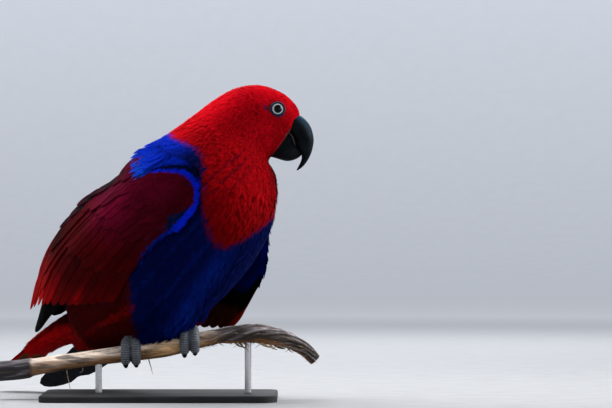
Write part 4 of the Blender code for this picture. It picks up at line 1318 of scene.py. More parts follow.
def vanes_piece(name, feathers):
    """Joins closed vanes into one piece, each with its own cell of the bake map."""
    points, faces, tints, maps, cells = [], [], [], [], []
    first = 0
    side = math.ceil(math.sqrt(len(feathers)))
    for k, (some, face, tint, place) in enumerate(feathers):
        faces += [tuple(first + i for i in corners) for corners in face]
        first += len(some)
        points.append(some)
        tints.append(tint)
        maps.append(place)
        low, high = place.min(0), place.max(0)
        inside = (place - low) / np.maximum(high - low, 1e-6)
        half = len(some) // 2
        inside[:, 0] = inside[:, 0] * 0.46 + np.repeat((0.02, 0.52), (half, len(some) - half))
        inside[:, 1] = inside[:, 1] * 0.94 + 0.03
        cells.append((np.array((k % side, k // side)) + inside) / side)
    piece = mesh_piece(name, np.concatenate(points), faces)
    add_tint(piece, np.clip(np.concatenate(tints), 0, 1))
    add_map(piece, "OFBake", np.concatenate(cells))
    add_map(piece, "Vane", np.concatenate(maps))
    return piece


def sheet_vane(sheet, draw, v, half, ends, rises, colour, tilt, blunt):
    """A long feather of the folded wing; colour gives its tints from share and column."""
    s, _, out, reach = vane_web(draw, root=0.55, blunt=blunt)
    column = s[:, None]
    sweep = draw.normal(0, 0.006) * s**2
    p = between(ends, column + 0 * out)
    q = v + half * reach + sweep[:, None]
    rise = between(rises, column) - tilt * reach - 0.12 * reach**2 + draw.normal(0, 0.05)
    middle = sheet.at(p, q, rise)
    _, _, _, normal = sheet.frame(p, q)
    length = travelled(middle[:, VANE_COLUMNS // 2])
    half_mm = np.linalg.norm(middle[:, -1] - middle[:, 0], axis=1) / 2
    top, under = colour(column + 0 * out, out + 0 * column, p, q)
    value = draw.normal(1.0, 0.14)
    return closed_vane(middle, normal, half_mm, length, top * value, under * value)


def covert_colour(p, q):
    """Wine red along the back edge, nearly black towards the lower edge and the long feathers."""
    back = smooth(0.15, 0.75, q + 0.12 * wave(22, 14 * p, 10 * q))
    maroon = blend(WING_DARK, WING_MAROON, back + 0.15 * smooth(0.3, 0.1, p))
    maroon = blend(maroon, WING_RED, smooth(0.40, 0.62, p + 0.05 * wave(24, 9 * q, 4 * p)))
    # Painted shade towards the back edge over the front half of the wing, and a darker patch near the back
    # edge towards the tips.
    inner = 0.25 * smooth(0.60, 0.74, q) * smooth(0.44, 0.3, p)
    shade_and_patch = inner + 0.3 * smooth(0.84, 0.94, q) * smooth(0.5, 0.3, p)
    shade_and_patch = np.maximum(shade_and_patch, 0.85 * np.exp(-(((p - 0.72) / 0.09) ** 2) - ((q - 0.94) / 0.07) ** 2))
    maroon = blend(maroon, SHADE_AND_PATCH_BLACK, shade_and_patch)
    return maroon * (1 + 0.25 * wave(23, 22 * p, 16 * q))[..., None]


def wing_colour(s, out, p, q):
    """Tints of both faces of a wing feather, at shares of its length and half width."""
    maroon = covert_colour(p, q)
    streak = 0.6 * np.exp(-(((q - 0.36) / 0.045) ** 2))
    bright = smooth(0.72, 0.95, p) * (0.12 + np.maximum(0.88 * smooth(0.40, 0.72, q), streak))
    top = blend(maroon, TIP_RED, bright * (0.25 + 0.75 * smooth(0.3, 1.0, s)))
    edge = smooth(0.5, 1.0, np.abs(out))
    top = top * (1 + 0.22 * edge)[..., None] * (0.7 + 0.3 * smooth(0.0, 0.6, s))[..., None]
    lower = smooth(0.085, 0.035, q) * smooth(0.62, 0.5, p)
    top = blend(top, LINE_BLUE, lower * 0.5)
    under = blend(UNDER_BLACK, OLIVE_RED, smooth(0.45, 0.8, s))
    streaked = smooth(-0.15, 0.45, wave(25, 70 * q, 4 * p) + 0.6 * np.maximum(np.abs(out), s) - 0.36)
    under = blend(under, UNDER_RED, streaked * smooth(0.62, 0.85, p))
    return top, under


def hidden_colour(s, out, p, q):
    """Blue-black webs of the innermost long feathers."""
    top, under = wing_colour(s, out, p, q)
    hidden = smooth(0.74, 0.84, s) + 0 * out
    return blend(top, HIDDEN_BLUE, hidden), blend(under, PRIMARY_BLACK, hidden)


def ruffle_colour(s, out, p, q):
    """Dark feathers that stand up from the back edge of the wing."""
    top = blend(RUFFLE_BLACK, WING_MAROON, 0.3 * smooth(0.5, 1.0, s) + 0 * out)
    return top, top * 0.7


def add_wing_vanes(side, material):
    """Flight feathers and rows of coverts of one wing."""
    sheet = Wing(side)
    draw = np.random.default_rng(200 + sheet.sign)
    flight, coverts = [], []
    first = 0.015 if side == "right" else 0.06
    for tier, (count, start, end, rises) in TIERS.items():
        pitch = 0.97 / (count - 1)
        for k in range(count):
            spread = 0.008 if tier == "secondary" else 0.030
            tip = end + draw.uniform(-spread, spread)
            v = first + (0.985 - first) / (count - 1) * (k + 5 * draw.uniform(-spread, spread))
            half = 0.92 * pitch * draw.uniform(0.88, 1.10)
            inner = tier == "secondary" and side == "left" and v > 0.85
            colour = hidden_colour if inner else wing_colour
            vane = sheet_vane(sheet, draw, v, half, (start, tip), rises, colour, tilt=0.34, blunt=0.76)
            (flight if tier == "secondary" else coverts).append(vane)
    for v, half, *ends, lift in OVERLAYS:
        rises = (-2.0 + lift, 0.3 + lift)
        vane = sheet_vane(sheet, draw, v, half, ends, rises, wing_colour, tilt=0.35, blunt=0.74)
        coverts.append(vane)
    for v, half, *ends, lift in RUFFLES:
        rises = (-1.0, lift)
        vane = sheet_vane(sheet, draw, v, half, ends, rises, ruffle_colour, tilt=0.2, blunt=0.6)
        coverts.append(vane)
    flight += [primary_vane(sheet, side, draw, k) for k in range(PRIMARY_COUNT)]
    wing = dress(vanes_piece("wing_flight_" + side, flight), material)
    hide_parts("wing_" + side)
    dress(vanes_piece("wing_coverts_" + side, coverts), material)


def primary_vane(sheet, side, draw, k):
    """A primary, blue-black, from the longest to the shortest."""
    share = k / (PRIMARY_COUNT - 1)
    longest, shortest = np.array(PRIMARIES[side], float)
    root, bow, tip = (longest * (1 - share) + shortest * share) * (1, sheet.sign, 1)
    s, width, out, reach = vane_web(draw, root=0.6, blunt=0.86)
    column = s[:, None]
    centre = root * (1 - column) ** 2 + bow * 2 * column * (1 - column) + tip * column**2
    along = unit((bow - root) * (1 - column) + (tip - bow) * column)
    normal = np.array((-0.15, sheet.sign, 0.25))
    normal = unit(normal - along * (along @ normal)[:, None])
    across = np.cross(along, normal) * sheet.sign
    half = PRIMARY_HALF[side]
    lift = 0.45 * k * column - 0.5 * reach**2
    aside = across[:, None] * (reach * half)[..., None]
    middle = centre[:, None] + aside + normal[:, None] * lift[..., None]
    spin = spun(np.broadcast_to(normal[:, None], middle.shape), BODY_YAW, (0, 0))
    bluer = smooth(0.2, -0.9, out + 0 * column) * smooth(1.0, 0.5, column)
    top = blend(PRIMARY_BLACK, PRIMARY_BLUE, bluer) * draw.normal(1, 0.1)
    under = np.broadcast_to(PRIMARY_UNDER, top.shape)
    return closed_vane(to_world(middle), spin, half * width, travelled(centre), top, under)


# The edge of the wing against the mantle: places across the sheet, then along it
WING_EDGE = (
    (-0.1, 0.0, 0.30, 0.435, 0.563, 0.649, 0.72, 1.1),
    (-0.03, -0.03, -0.013, -0.002, 0.04, 0.084, 0.13, 0.2),
)
# The right wing's small feathers bulge past the sheet's lower edge: places along it, then across it
BEND = (
    (-0.042, -0.025, 0.01, 0.048, 0.087, 0.133, 0.185, 0.234, 0.263, 0.34, 0.44),
    (-0.015, -0.105, -0.142, -0.150, -0.138, -0.118, -0.095, -0.078, -0.072, -0.05, -0.03),
)
# Coats of small feathers on each wing: span, length and half width at both ends, barbs, roots to a
# square millimetre, depth of the root, height of the tip
WING_COATS = {
    "coat_shoulder": ((-0.06, 0.22, -0.16, 0.74), (4.4, 7.5), (1.0, 1.7), 5, 1.05, -0.6, 1.0),
    "coat_wing_edge": ((0.20, 0.64, -0.10, 0.05), (6.0, 7.0), (1.2, 1.4), 5, 0.75, -0.8, 0.8),
    "coat_mantle": ((-0.06, 0.09, 0.68, 1.03), (18.0, 20.0), (1.5, 1.6), 7, 0.55, 0.8, 2.3),
}
LINING = ((0.02, 0.73, -0.035, 0.97), (9.0, 13.0), (1.7, 2.6), 6, 0.2, -0.6, 0.8)


def shoulder_colour(p, q):
    """Maroon coverts, with a blue edge round the bend of the wing and dark blue beyond it."""
    past = p - np.interp(q, *WING_EDGE)
    front = smooth(0.034, 0.022, past - 0.035 * smooth(0.03, -0.07, q))
    inside = q - np.interp(p, *BEND)
    patch = -0.03 + 0.12 * np.exp(-(((p - 0.21) / 0.05) ** 2))
    dark = smooth(patch + 0.02, patch, q) * smooth(0.32, 0.27, p) * smooth(0.08, 0.14, p)
    colour = blend(covert_colour(p, q), LINE_BLUE, dark)
    width = np.interp(p, (0.14, 0.22, 0.34, 0.56), (0.060, 0.052, 0.036, 0.022))
    below = smooth(width, width - 0.014, inside)
    edge = blend(EDGE_BLUE, UNDER_BLUE, smooth(0.20, 0.32, p))
    colour = blend(colour, edge, np.maximum(front, below * smooth(0.60, 0.48, p)))
    # Painted shadow of the body's feathers: a dark strip just in front of the wing's edge, before the
    # mantle's blue.
    colour = blend(colour, MANTLE_SHADOW_BLUE, smooth(0.004, -0.006, past))
    return blend(colour, MANTLE_BLUE, 0.8 * smooth(-0.026, -0.045, past) * smooth(0.2, 0.4, q))


def mantle_colour(p, q):
    """Bright blue over the top of the wing, paler at the fringe."""
    return blend(MANTLE_BLUE, FRINGE_BLUE, 0.7 * smooth(0.10, 0.20, p) + 0.4 * wave(21, 20 * p, 60 * q))


def lining_colour(p, q):
    """Blue coverts inside the bend of the wing, black-green towards the long feathers."""
    dark = smooth(0.68, 0.73, p + 0.10 * smooth(0.06, 0.0, q))
    blue = blend(UNDER_BLUE, EDGE_BLUE, 0.6 * smooth(0.03, 0.0, q) * smooth(0.50, 0.38, p))
    return blend(blue, UNDER_BLACK, dark)


def far_edge_colour(p, q):
    """The left wing's lower edge, that turns its dark blue inner side outwards."""
    return blend(shoulder_colour(p, q), lining_colour(p, q), smooth(0.05, 0.01, q))


def add_sheet_coat(name, sheet, row, colour, seed, material, lean=0.0, base=None):
    """Small feathers over a part of a wing's sheet, at a height that base gives."""
    span, lengths, halves, barbs, thickness, *heights = row

    def density(p, q):
        return thickness * smooth(span[1] + 0.02, span[1] - 0.06, p)

    p, q = scatter(sheet, density, seed, span, cells=90)
    if sheet.sign == SIDES["left"]:
        seen = p > np.minimum(np.interp(q, *WING_EDGE), 0.02) - 0.005
        p, q = kept(seen & (q > np.interp(p, (0.42, 0.62), (-0.035, 0.0))), p, q)
    else:
        p, q = kept(q > np.interp(p, *BEND), p, q)
    share = np.clip((p - span[0]) / (span[1] - span[0]), 0, 1)

    def paint(p, q, points):
        return colour(p, q)

    piece = tufts(
        name, sheet, span, (p, q), (between(lengths, share), between(halves, share)), barbs, paint, seed + 3,
        heights, sway=0.12, lean=lean, base=base(p) if base else 0.0,
    )
    dress(piece, material)


def add_wing_coats(side, material):
    """Small feathers on the shoulder, the edge and the lining of a wing, and the mantle's over its top."""
    sheet = Wing(side)
    for seed, (name, row) in enumerate(WING_COATS.items(), 300 + 10 * sheet.sign):
        colour = mantle_colour if name == "coat_mantle" else shoulder_colour
        if name == "coat_wing_edge" and side == "left":
            colour = far_edge_colour
        lean = 0.18 if name == "coat_wing_edge" else 0.0
        add_sheet_coat(f"{name}_{side}", sheet, row, colour, seed, material, lean)
    inner = Wing(side, inner=True)
    seed = 340 + sheet.sign
    add_sheet_coat("coat_lining_" + side, inner, LINING, lining_colour, seed, material, base=inner_depth)


def inner_depth(p):
    """How far the folded wing's inner face lies under its sheet, in millimetres."""
    return 2.8 + 3.0 * smooth(0.45, 0.0, p)


def wing_core(side, material):
    """The flesh and quills of the folded wing, a thin slab that the feathers are rooted in."""
    sheet = Wing(side)
    p, q = grid((0.012, 0.52, 0.02, 0.98), 40, 40)
    rim = np.minimum(smooth(0.0, 0.10, p), np.minimum(smooth(0.0, 0.12, q), smooth(1.0, 0.88, q)))
    top = sheet.at(p, q, -1.2 - 0.8 * (1 - rim))
    bottom = sheet.at(p, q, -2.2 - (inner_depth(p) - 2.2) * rim)
    piece = mesh_piece("wing_core_" + side, *slab(top, bottom))
    tints = [shoulder_colour(p, q).reshape(-1, 3), lining_colour(p, q).reshape(-1, 3)]
    add_tint(piece, np.concatenate(tints))
    return dress(piece, material)


# ---------------------------------------------------------------- tail
class Tail(Surface):
    """The tail's upper or under side: p runs along it from root to tips, q across it from -1 to 1."""

    def __init__(self, face, swell):
        self.face, self.swell = face, swell
        self.outward = -face

    def at(self, p, q, height=0.0):
        row = spline(TAIL_LINE, p * (len(TAIL_LINE) - 1))
        half = row[..., 2]
        bulk = self.swell * np.clip(1 - p, 0, 1) ** 2 + 1.5
        round_it = np.sqrt(np.clip(1.02 - np.asarray(q) ** 2, 0.02, 1))
        drop = TAIL_ARCH * np.asarray(q) ** 2
        z = row[..., 1] - drop + self.face * (bulk * round_it + height)
        return to_world(np.stack([row[..., 0] + 0 * z, half * q + 0 * z, z], -1))


def tail_vane(draw, side, reach, height):
    """A tail feather: side is its place across the tail, reach how far along it the tip lies."""
    s, width, out, spread_out = vane_web(draw, root=0.55, blunt=0.86)
    row = spline(TAIL_LINE, between((0.12, reach), s) * (len(TAIL_LINE) - 1))
    ahead = np.gradient(row[:, :2], axis=0)
    along = unit(np.stack([ahead[:, 0], 0 * s, ahead[:, 1]], -1))
    half = row[:, 2:3]
    y = side * (half - TAIL_HALF_FEATHER) * (0.55 + 0.45 * s[:, None]) + TAIL_HALF_FEATHER * spread_out
    arch = TAIL_ARCH * (y / half) ** 2
    across = unit(np.stack([0 * y, 1 + 0 * y, -2 * TAIL_ARCH * y / half**2], -1))
    normal = unit(np.cross(along[:, None], across))
    normal = normal * np.sign(normal[..., 2:3])
    place = np.stack([row[:, :1] + 0 * y, y, row[:, 1:2] - arch], -1)
    lift = height - 0.35 * spread_out**2
    middle = place + normal * lift[..., None]
    length = travelled(middle[:, VANE_COLUMNS // 2])
    inner = smooth(0.98, 0.6, np.abs(out) + 0 * s[:, None]) * (0.35 + 0.65 * abs(side))
    # The upper side darkens towards the root: painted shadow under the wing.
    top = blend(TAIL_RED, TAIL_OLIVE, 0.8 * inner) * (0.55 + 0.45 * smooth(0.0, 0.5, s))[:, None, None]
    under = blend(TAIL_RED, TAIL_OLIVE, inner)
    spin = spun(normal, BODY_YAW, (0, 0))
    return closed_vane(to_world(middle), spin, TAIL_HALF_FEATHER * width, length, top, under)


def add_tail_coat(name, material):
    """Small feathers over the tail's root, on its upper or its under side."""
    face, swell, reach, seed = TAIL_COATS[name]
    surface = Tail(face, swell)
    span = (-0.04, reach, -0.98, 0.98)
    p, q = scatter(surface, lambda p, q: TAIL_THICKNESS, seed, span, cells=60)
    draw = np.random.default_rng(seed)
    # The upper coat starts from the dark vent red at its root: painted shadow under the wing.
    share = smooth(-0.02, 0.22, p) if face < 0 else 0.8 * smooth(-0.04, 0.30, p)
    colours = blend(STREAK_RED if face < 0 else VENT_RED, TAIL_RED, share)
    colours = colours * draw.uniform(0.55, 1.1, (len(p), 1))

    def paint(p, q, points):
        return colours

    piece = tufts(
        name, surface, span, (p, q), size=(24.0, 2.4),
        barbs=8, paint=paint, seed=seed + 5, heights=(-1.5, 1.0), sway=0.09,
    )
    dress(piece, material)


def add_tail(vane_look, coat_look):
    """Twelve long feathers, the middle pair on top, and the small ones over their roots."""
    draw = np.random.default_rng(400)
    feathers = []
    for pair in range(TAIL_PAIRS):
        for hand in (-1, 1):
            side = hand * (pair + 0.5) / (TAIL_PAIRS - 0.5)
            height = TAIL_STACK * ((TAIL_PAIRS - 1) / 2 - pair + (hand + 1) / 4)
            reach = 1.0 - 0.035 * side * side + draw.uniform(-0.006, 0.006)
            feathers.append(tail_vane(draw, side, reach, height))
    tail = vanes_piece("tail_vanes", feathers)
    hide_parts("tail")
    dress(tail, vane_look)
    for name in TAIL_COATS:
        add_tail_coat(name, coat_look)


def tail_core(material):
    """The tail's root, that its feathers grow from."""
    rings = []
    turns = full_circle(36)
    for share in np.linspace(0, 0.42, 20):
        x, z, half = spline(TAIL_LINE, np.array(share * (len(TAIL_LINE) - 1)))
        thin = (1 - share) ** 2
        rise = np.cos(turns)
        drop = np.where(rise > 0, 7.0 * thin + 0.6, 19.5 * thin + 0.6)
        rings.append(to_world(np.stack([x + 0 * turns, (half - 1) * np.sin(turns), z + drop * rise], -1)))
    piece = lofted("tail_core", rings)
    plain_tint(piece, VENT_RED)
    return dress(piece, material)


# ---------------------------------------------------------------- head: bill, eyes
def bill_rings(table, sides, steps, top_square, bottom_square):
    """Rings over a bill's rows, with a ridged or a rounded top and a squarer bottom."""
    turns = full_circle(sides)
    square = np.where(np.cos(turns) > 0, top_square, bottom_square)
    c, s = squared(np.cos(turns), square), squared(np.sin(turns), square)
    rings = []
    for t in np.linspace(0, len(table) - 1, steps):
        row = spline(table, np.array(t))
        top, bottom, half = row[0:2], row[2:4], row[4]
        middle, up = (top + bottom) / 2, (top - bottom) / 2
        profile = middle + np.outer(c, up)
        rings.append(head_world(np.stack([profile[:, 0], half * s, profile[:, 1]], -1)))
    return rings


def add_bill(material):
    """Both halves of the bill, with a painted blue sheen on top at the root."""
    halves = (("bill_upper", BILL_UPPER, 2.05, 2.4), ("bill_lower", BILL_LOWER, 2.5, 2.2))
    steps, sides = 90, 72
    for name, table, top_square, bottom_square in halves:
        piece = lofted(name + "_horn", bill_rings(table, sides, steps, top_square, bottom_square))
        along = np.repeat(np.linspace(0, 1, steps), sides)
        round_it = np.tile(np.cos(full_circle(sides)), steps)
        # A painted highlight: blue sheen on top of the bill near its root.
        sheen = smooth(0.55, 0.0, along) * smooth(0.2, 0.9, round_it)
        if name == "bill_lower":
            sheen = sheen * 0.3
        sheen = np.concatenate([sheen, np.zeros(len(piece.data.vertices) - len(sheen))])
        add_tint(piece, sheen[:, None] * SHEEN_BLUE)
        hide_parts(name)
        dress(piece, material)


def add_gape(material):
    """The worn pale edge of the upper bill where it meets the lower one, on both sides."""
    pieces = []
    profile = np.array(GAPE)
    steps = 24
    for hand in (-1, 1):
        t = np.linspace(0, len(profile) - 1, steps)
        line = spline(profile, t)
        out = hand * GAPE_SPREAD * (1 - 0.14 * (t / t[-1]) ** 2)
        centres = head_world(np.stack([line[:, 0], out, line[:, 1]], -1))
        taper = np.sqrt(np.clip(1 - (np.linspace(-1, 1, steps)) ** 2, 0.02, 1))
        radii = 0.5 * taper * (1 + 0.5 * np.sin(2.4 * np.arange(steps)))
        pieces.append(lofted("gape", tube_rings(centres, radii, sides=10)))
    piece = merged("gape_edge", pieces)
    plain_tint(piece, GAPE_CREAM)
    return dress(piece, material)


def add_mouth(material):
    """Tongue and palate, dark between the two halves of the bill."""
    turns = full_circle(32)
    line = spline(MOUTH, np.linspace(0, len(MOUTH) - 1, 30))
    along = unit(np.gradient(line[:, :2], axis=0))
    rings = []
    for (x, z, half, thick), (ahead, rise) in zip(line, along):
        flat = np.cos(turns) * thick
        rings.append(head_world(np.stack([x - rise * flat, half * np.sin(turns), z + ahead * flat], -1)))
    piece = lofted("mouth", rings)
    plain_tint(piece, BLACK)
    return dress(piece, material)


def eye_places():
    """Middle and outward direction of each eye, from the eyes' own nodes and the trunk's surface."""
    p, q = grid((11, 14.5, 0, FULL_TURN), 120, 500)
    points, _, _, normals = TRUNK.frame(p, q)
    places = {}
    for side, sign in SIDES.items():
        low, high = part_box("eye_" + side)
        centre = np.array((low + high) / 2) / MM - (0, 0, EYE_DROP)
        nearest = np.unravel_index(np.argmin(np.linalg.norm(points - centre, axis=-1)), p.shape)
        places[side] = (centre, unit(normals[nearest] + np.array((0, sign, 0))))
    return places


def around(outward):
    """Two unit directions square to outward, the second one upwards."""
    across = unit(np.cross(outward, (0, 0, 1)))
    return across, np.cross(across, outward)


def add_eyes(iris_look, lid_look, eyes):
    """Eyeballs with a bulging cornea, and their lids."""
    turns = full_circle(64)
    for side, (centre, outward) in eyes.items():
        across, up = around(outward)
        spokes = np.outer(np.cos(turns), across) + np.outer(np.sin(turns), up)
        rings, tints = [], []
        for angle in np.linspace(0.012, math.pi - 0.012, 64):
            out = EYE_RADIUS * math.sin(angle)
            bulge = CORNEA_BULGE * max(0.0, 1 - (out / CORNEA_RADIUS) ** 2) if angle < math.pi / 2 else 0.0
            rings.append(centre + spokes * out + outward * (EYE_RADIUS * math.cos(angle) + bulge))
            tints += [eye_tint(out)] * len(turns)
        ball = lofted("eyeball_" + side, rings)
        add_tint(ball, np.array(tints + [eye_tint(0), eye_tint(EYE_RADIUS)]))
        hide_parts("eye_" + side)
        dress(ball, iris_look)
        add_lids(side, centre, outward, lid_look)


def eye_tint(out):
    """Black pupil, pale iris that darkens at its edges."""
    if out < PUPIL_RADIUS:
        return (0.003, 0.003, 0.004)
    share = (out - PUPIL_RADIUS) / (IRIS_RADIUS - PUPIL_RADIUS)
    if share > 1.0:
        return (0.02, 0.02, 0.022)
    value = 0.35 + 0.65 * math.sin(math.pi * min(max(share, 0.08), 0.92))
    return (0.74 * value, 0.79 * value, 0.80 * value)


def add_lids(side, centre, outward, material):
    """Upper and lower lid as one ring of wrinkled skin, thicker below, with fine beads at its edge."""
    across, up = around(outward)
    base = math.sqrt(EYE_RADIUS**2 - LID_RADIUS**2 * 0.72)
    rings = []
    steps, sides = 120, 18
    for k in range(steps):
        turn = FULL_TURN * k / steps
        radial = across * math.cos(turn) * 1.05 + up * math.sin(turn)
        roll = LID_ROLL * (1.0 - 0.12 * math.sin(turn)) * (1 + 0.05 * math.cos(36 * turn))
        ring = []
        for j in range(sides):
            bend = FULL_TURN * j / sides
            crease = 1 + 0.10 * math.cos(4 * bend)
            out = LID_RADIUS + roll * crease * math.cos(bend)
            rise = base + 0.2 + 0.85 * roll * crease * math.sin(bend)
            ring.append(centre + radial * out + outward * rise)
        rings.append(np.array(ring))
    points = np.concatenate(rings)
    faces = grid_faces(steps, sides, close=True)
    last = (steps - 1) * sides
    faces += [(last + j, last + (j + 1) % sides, (j + 1) % sides, j) for j in range(sides)]
    piece = mesh_piece("lids_" + side, points, faces)
    return dress(piece, material)


# ---------------------------------------------------------------- feet
def perch_at(world_x):
    """Middle and radius of the branch at a world x."""
    t = np.linspace(0, len(PERCH) - 1, 600)
    rows = spline(PERCH, t)
    row = spline(PERCH, np.array(np.interp(world_x, rows[:, 0], t)))
    return np.array((row[0], 0.0, row[1])), row[2]


def round_perch(world_x, angle, reach):
    """A world point at an angle round the branch, 0 on top and positive to the front."""
    middle, radius = perch_at(world_x)
    turn = math.radians(angle)
    return middle + np.array((0, -math.sin(turn), math.cos(turn))) * (radius + reach)


def toe_line(foot_x, offset, end, steps):
    """Middles and radii of a toe, from the hub of the foot round the branch to its claw."""
    centres, radii = [], []
    for share in np.linspace(0, 1, steps):
        spread = 0.35 + 0.65 * min(share * 2.2, 1)
        radius = TOE_GIRTH * (1.0 - 0.09 * share) * (1.0 + 0.05 * math.cos(share * 6 * math.pi))
        radius *= math.sqrt(max(1 - max((share - 0.95) / 0.055, 0) ** 2, 0.15))
        height = TOE_RADIUS * (1.0 - 0.2 * share) + 2 * CLEAR
        centres.append(round_perch(foot_x + offset * spread, end * share, height))
        radii.append(radius)
    return np.array(centres), np.array(radii)


def add_foot(side, material):
    """Toes with ringed scutes on top and pads below, fused with the scaly shank."""
    foot_x = FOOT_X[side]
    tubes, crease_lines = [], []
    for offset, end in TOES:
        centres, radii = toe_line(foot_x, offset, end, 90)
        length = travelled(centres)
        phase = (length / SCUTE) % 1.0
        relief = 1 + 0.035 * (1 - np.abs(2 * phase - 1)) ** 0.5 - 0.03
        tubes.append(lofted("toe", tube_rings(centres, radii * relief, sides=28)))
        marks = np.arange(0.5, length[-1] / SCUTE) * SCUTE - SCUTE / 2
        for edge in np.interp(marks, length, np.arange(len(length))):
            if edge > 4:
                here = spline(centres, np.array(edge))
                crease_lines.append((here, spline(centres, np.array(min(edge + 1, 88.9))) - here))
    hub = foot_hub(side)
    centres = [hub + np.array((1.5, 0, -0.4)), hub, hub + ANKLE * 0.5, hub + ANKLE * 1.15]
    line = spline(np.array(centres), np.linspace(0, 3, 30))
    radii = spline(np.array(SHANK_RADII, float)[:, None], np.linspace(0, 3, 30))[:, 0]
    tubes.append(lofted("shank", tube_rings(to_world(line), radii, sides=28)))
    foot = fused(merged(f"foot_{side}_skin", tubes), voxel=0.42, smoothing=2)
    places = np.array([v.co for v in foot.data.vertices]) / MM
    normals = np.array([v.normal for v in foot.data.vertices])
    middle, _ = perch_at(foot_x)
    outside = unit(places - middle)
    crease = np.zeros(len(places))
    for centre, along in crease_lines:
        along = unit(along)
        offset = places - centre
        ahead = np.abs(offset @ along)
        beside = np.linalg.norm(offset, axis=1)
        crease = np.maximum(crease, smooth(0.26, 0.08, ahead) * smooth(4.2, 3.4, beside))
    crease *= smooth(-0.1, 0.5, (normals * outside).sum(1))
    add_tint(foot, np.repeat(crease[:, None], 3, 1))
    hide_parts("foot_" + side)
    return dress(foot, material)


def foot_hub(side):
    """The middle of the foot, above the branch, in the bird's frame."""
    place = round_perch(FOOT_X[side], 0, TOE_RADIUS + CLEAR + 0.6)
    return spun(place - FOOT_POINT, -BODY_YAW, (0, 0))


def add_claws(side, material):
    """The four claws of a foot, hooked round the branch."""
    claws = []
    for offset, end in TOES:
        centres, radii = [], []
        for share in np.linspace(0, 1, 40):
            angle = end + math.copysign(1.4, end) + math.copysign(CLAW_TURN, end) * share
            radius = 2.25 * (1 - share) ** 0.8 + 0.14
            height = radius + 0.9 + 1.5 * math.sin(share * math.pi * 0.8)
            centres.append(round_perch(FOOT_X[side] + offset, angle, height))
            radii.append(radius)
        claws.append(lofted("claw", tube_rings(centres, radii, sides=24)))
    piece = merged("claws_" + side, claws)
    plain_tint(piece, BLACK)
    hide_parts(*(f"claw_{side}_{k}" for k in range(1, 5)))
    return dress(piece, material)


# ---------------------------------------------------------------- branch and stand
def perch_tint(x, angle, twisted, top, bark):
    """Weathered wood with painted light on top and painted shade below, torn and dark past the left foot,
    bark at the far end.
    """
    # Painted light and shade: the wood is pale on top and brown underneath.
    tan = blend(WOOD_SHADED_BROWN, WOOD_LIT_PALE, smooth(-0.35, 0.45, top + 0.6 * wave(6, 3 * angle, x / 12)))
    orange = smooth(-20, -5, x) * smooth(40, 20, x) * 0.6 * smooth(-0.5, 0.3, wave(9, 4 * angle, x / 8))
    tan = blend(tan, WOOD_ORANGE, orange)
    flakes = wave(7, 9 * twisted, x / 9) + 0.6 * wave(12, 21 * twisted, x / 2.6)
    # The torn wood's flakes are dark and grey, paler on top as a painted highlight.
    worn = blend(TORN_DARK, TORN_GREY, smooth(-0.1, 0.8, flakes + 0.5 * top))
    worn = blend(WOOD_UNDER, worn, smooth(-0.9, -0.4, top + 0.3 * wave(10, 6 * angle, x / 7)))
    colour = blend(tan, worn, smooth(28, 52, x) + 0 * angle)
    # The bark's mottling is paler on top, a painted highlight.
    mottled = blend(BARK_DARK, BARK_GREY, smooth(0.0, 0.5, wave(8, 6 * angle, x / 5) + 0.3 * top))
    return blend(colour, mottled, bark)


def add_perch(material):
    """The branch: ridged weathered wood, bark left at one end and torn fibres at the other."""
    share = np.linspace(0, 1, 420)
    rows = spline(PERCH, share * (len(PERCH) - 1))
    ahead = np.gradient(rows[:, :2], axis=0)
    along = unit(np.stack([ahead[:, 0], 0 * share, ahead[:, 1]], -1))
    side = np.array((0.0, 1.0, 0.0))
    up = np.cross(along, side)
    x = rows[:, :1]
    angle = full_circle(72)[None] + 0 * x
    ridges = 0.28 * wave(1, 7 * angle, x / 9) + 0.2 * wave(2, 15 * angle, x / 5)
    ridges = ridges + 0.35 * wave(3, 2 * angle, x / 14)
    bark = smooth(-95.0, -98.5, x + 2.2 * wave(4, 3 * angle, 0 * x))
    twisted = angle + 0.055 * np.maximum(x - 38, 0)
    furrows = wave(5, 7 * twisted, x / 9) + 0.5 * wave(12, 21 * twisted, x / 2.6)
    torn = smooth(38, 55, x) * (1.25 * np.clip(furrows, -0.45, 0.5))
    radius = rows[:, 2:3] + ridges + 0.9 * bark + torn - 0.35
    ends = np.sqrt(np.clip(np.minimum(share, 1 - share) / 0.004, 0.55, 1))[:, None]
    spokes = np.cos(angle)[..., None] * side + np.sin(angle)[..., None] * up[:, None]
    centres = np.stack([rows[:, 0], 0 * share, rows[:, 1]], -1)
    perch = lofted("branch", centres[:, None] + spokes * (radius * ends)[..., None])
    top = spokes @ np.array((0, 0, 1.0))
    colour = perch_tint(x, angle, twisted, top, bark)
    cut_ends = np.tile(CUT_END, (2, 1))
    add_tint(perch, np.clip(np.concatenate([colour.reshape(-1, 3), cut_ends]), 0, 1))
    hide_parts("perch")
    return dress(perch, material)


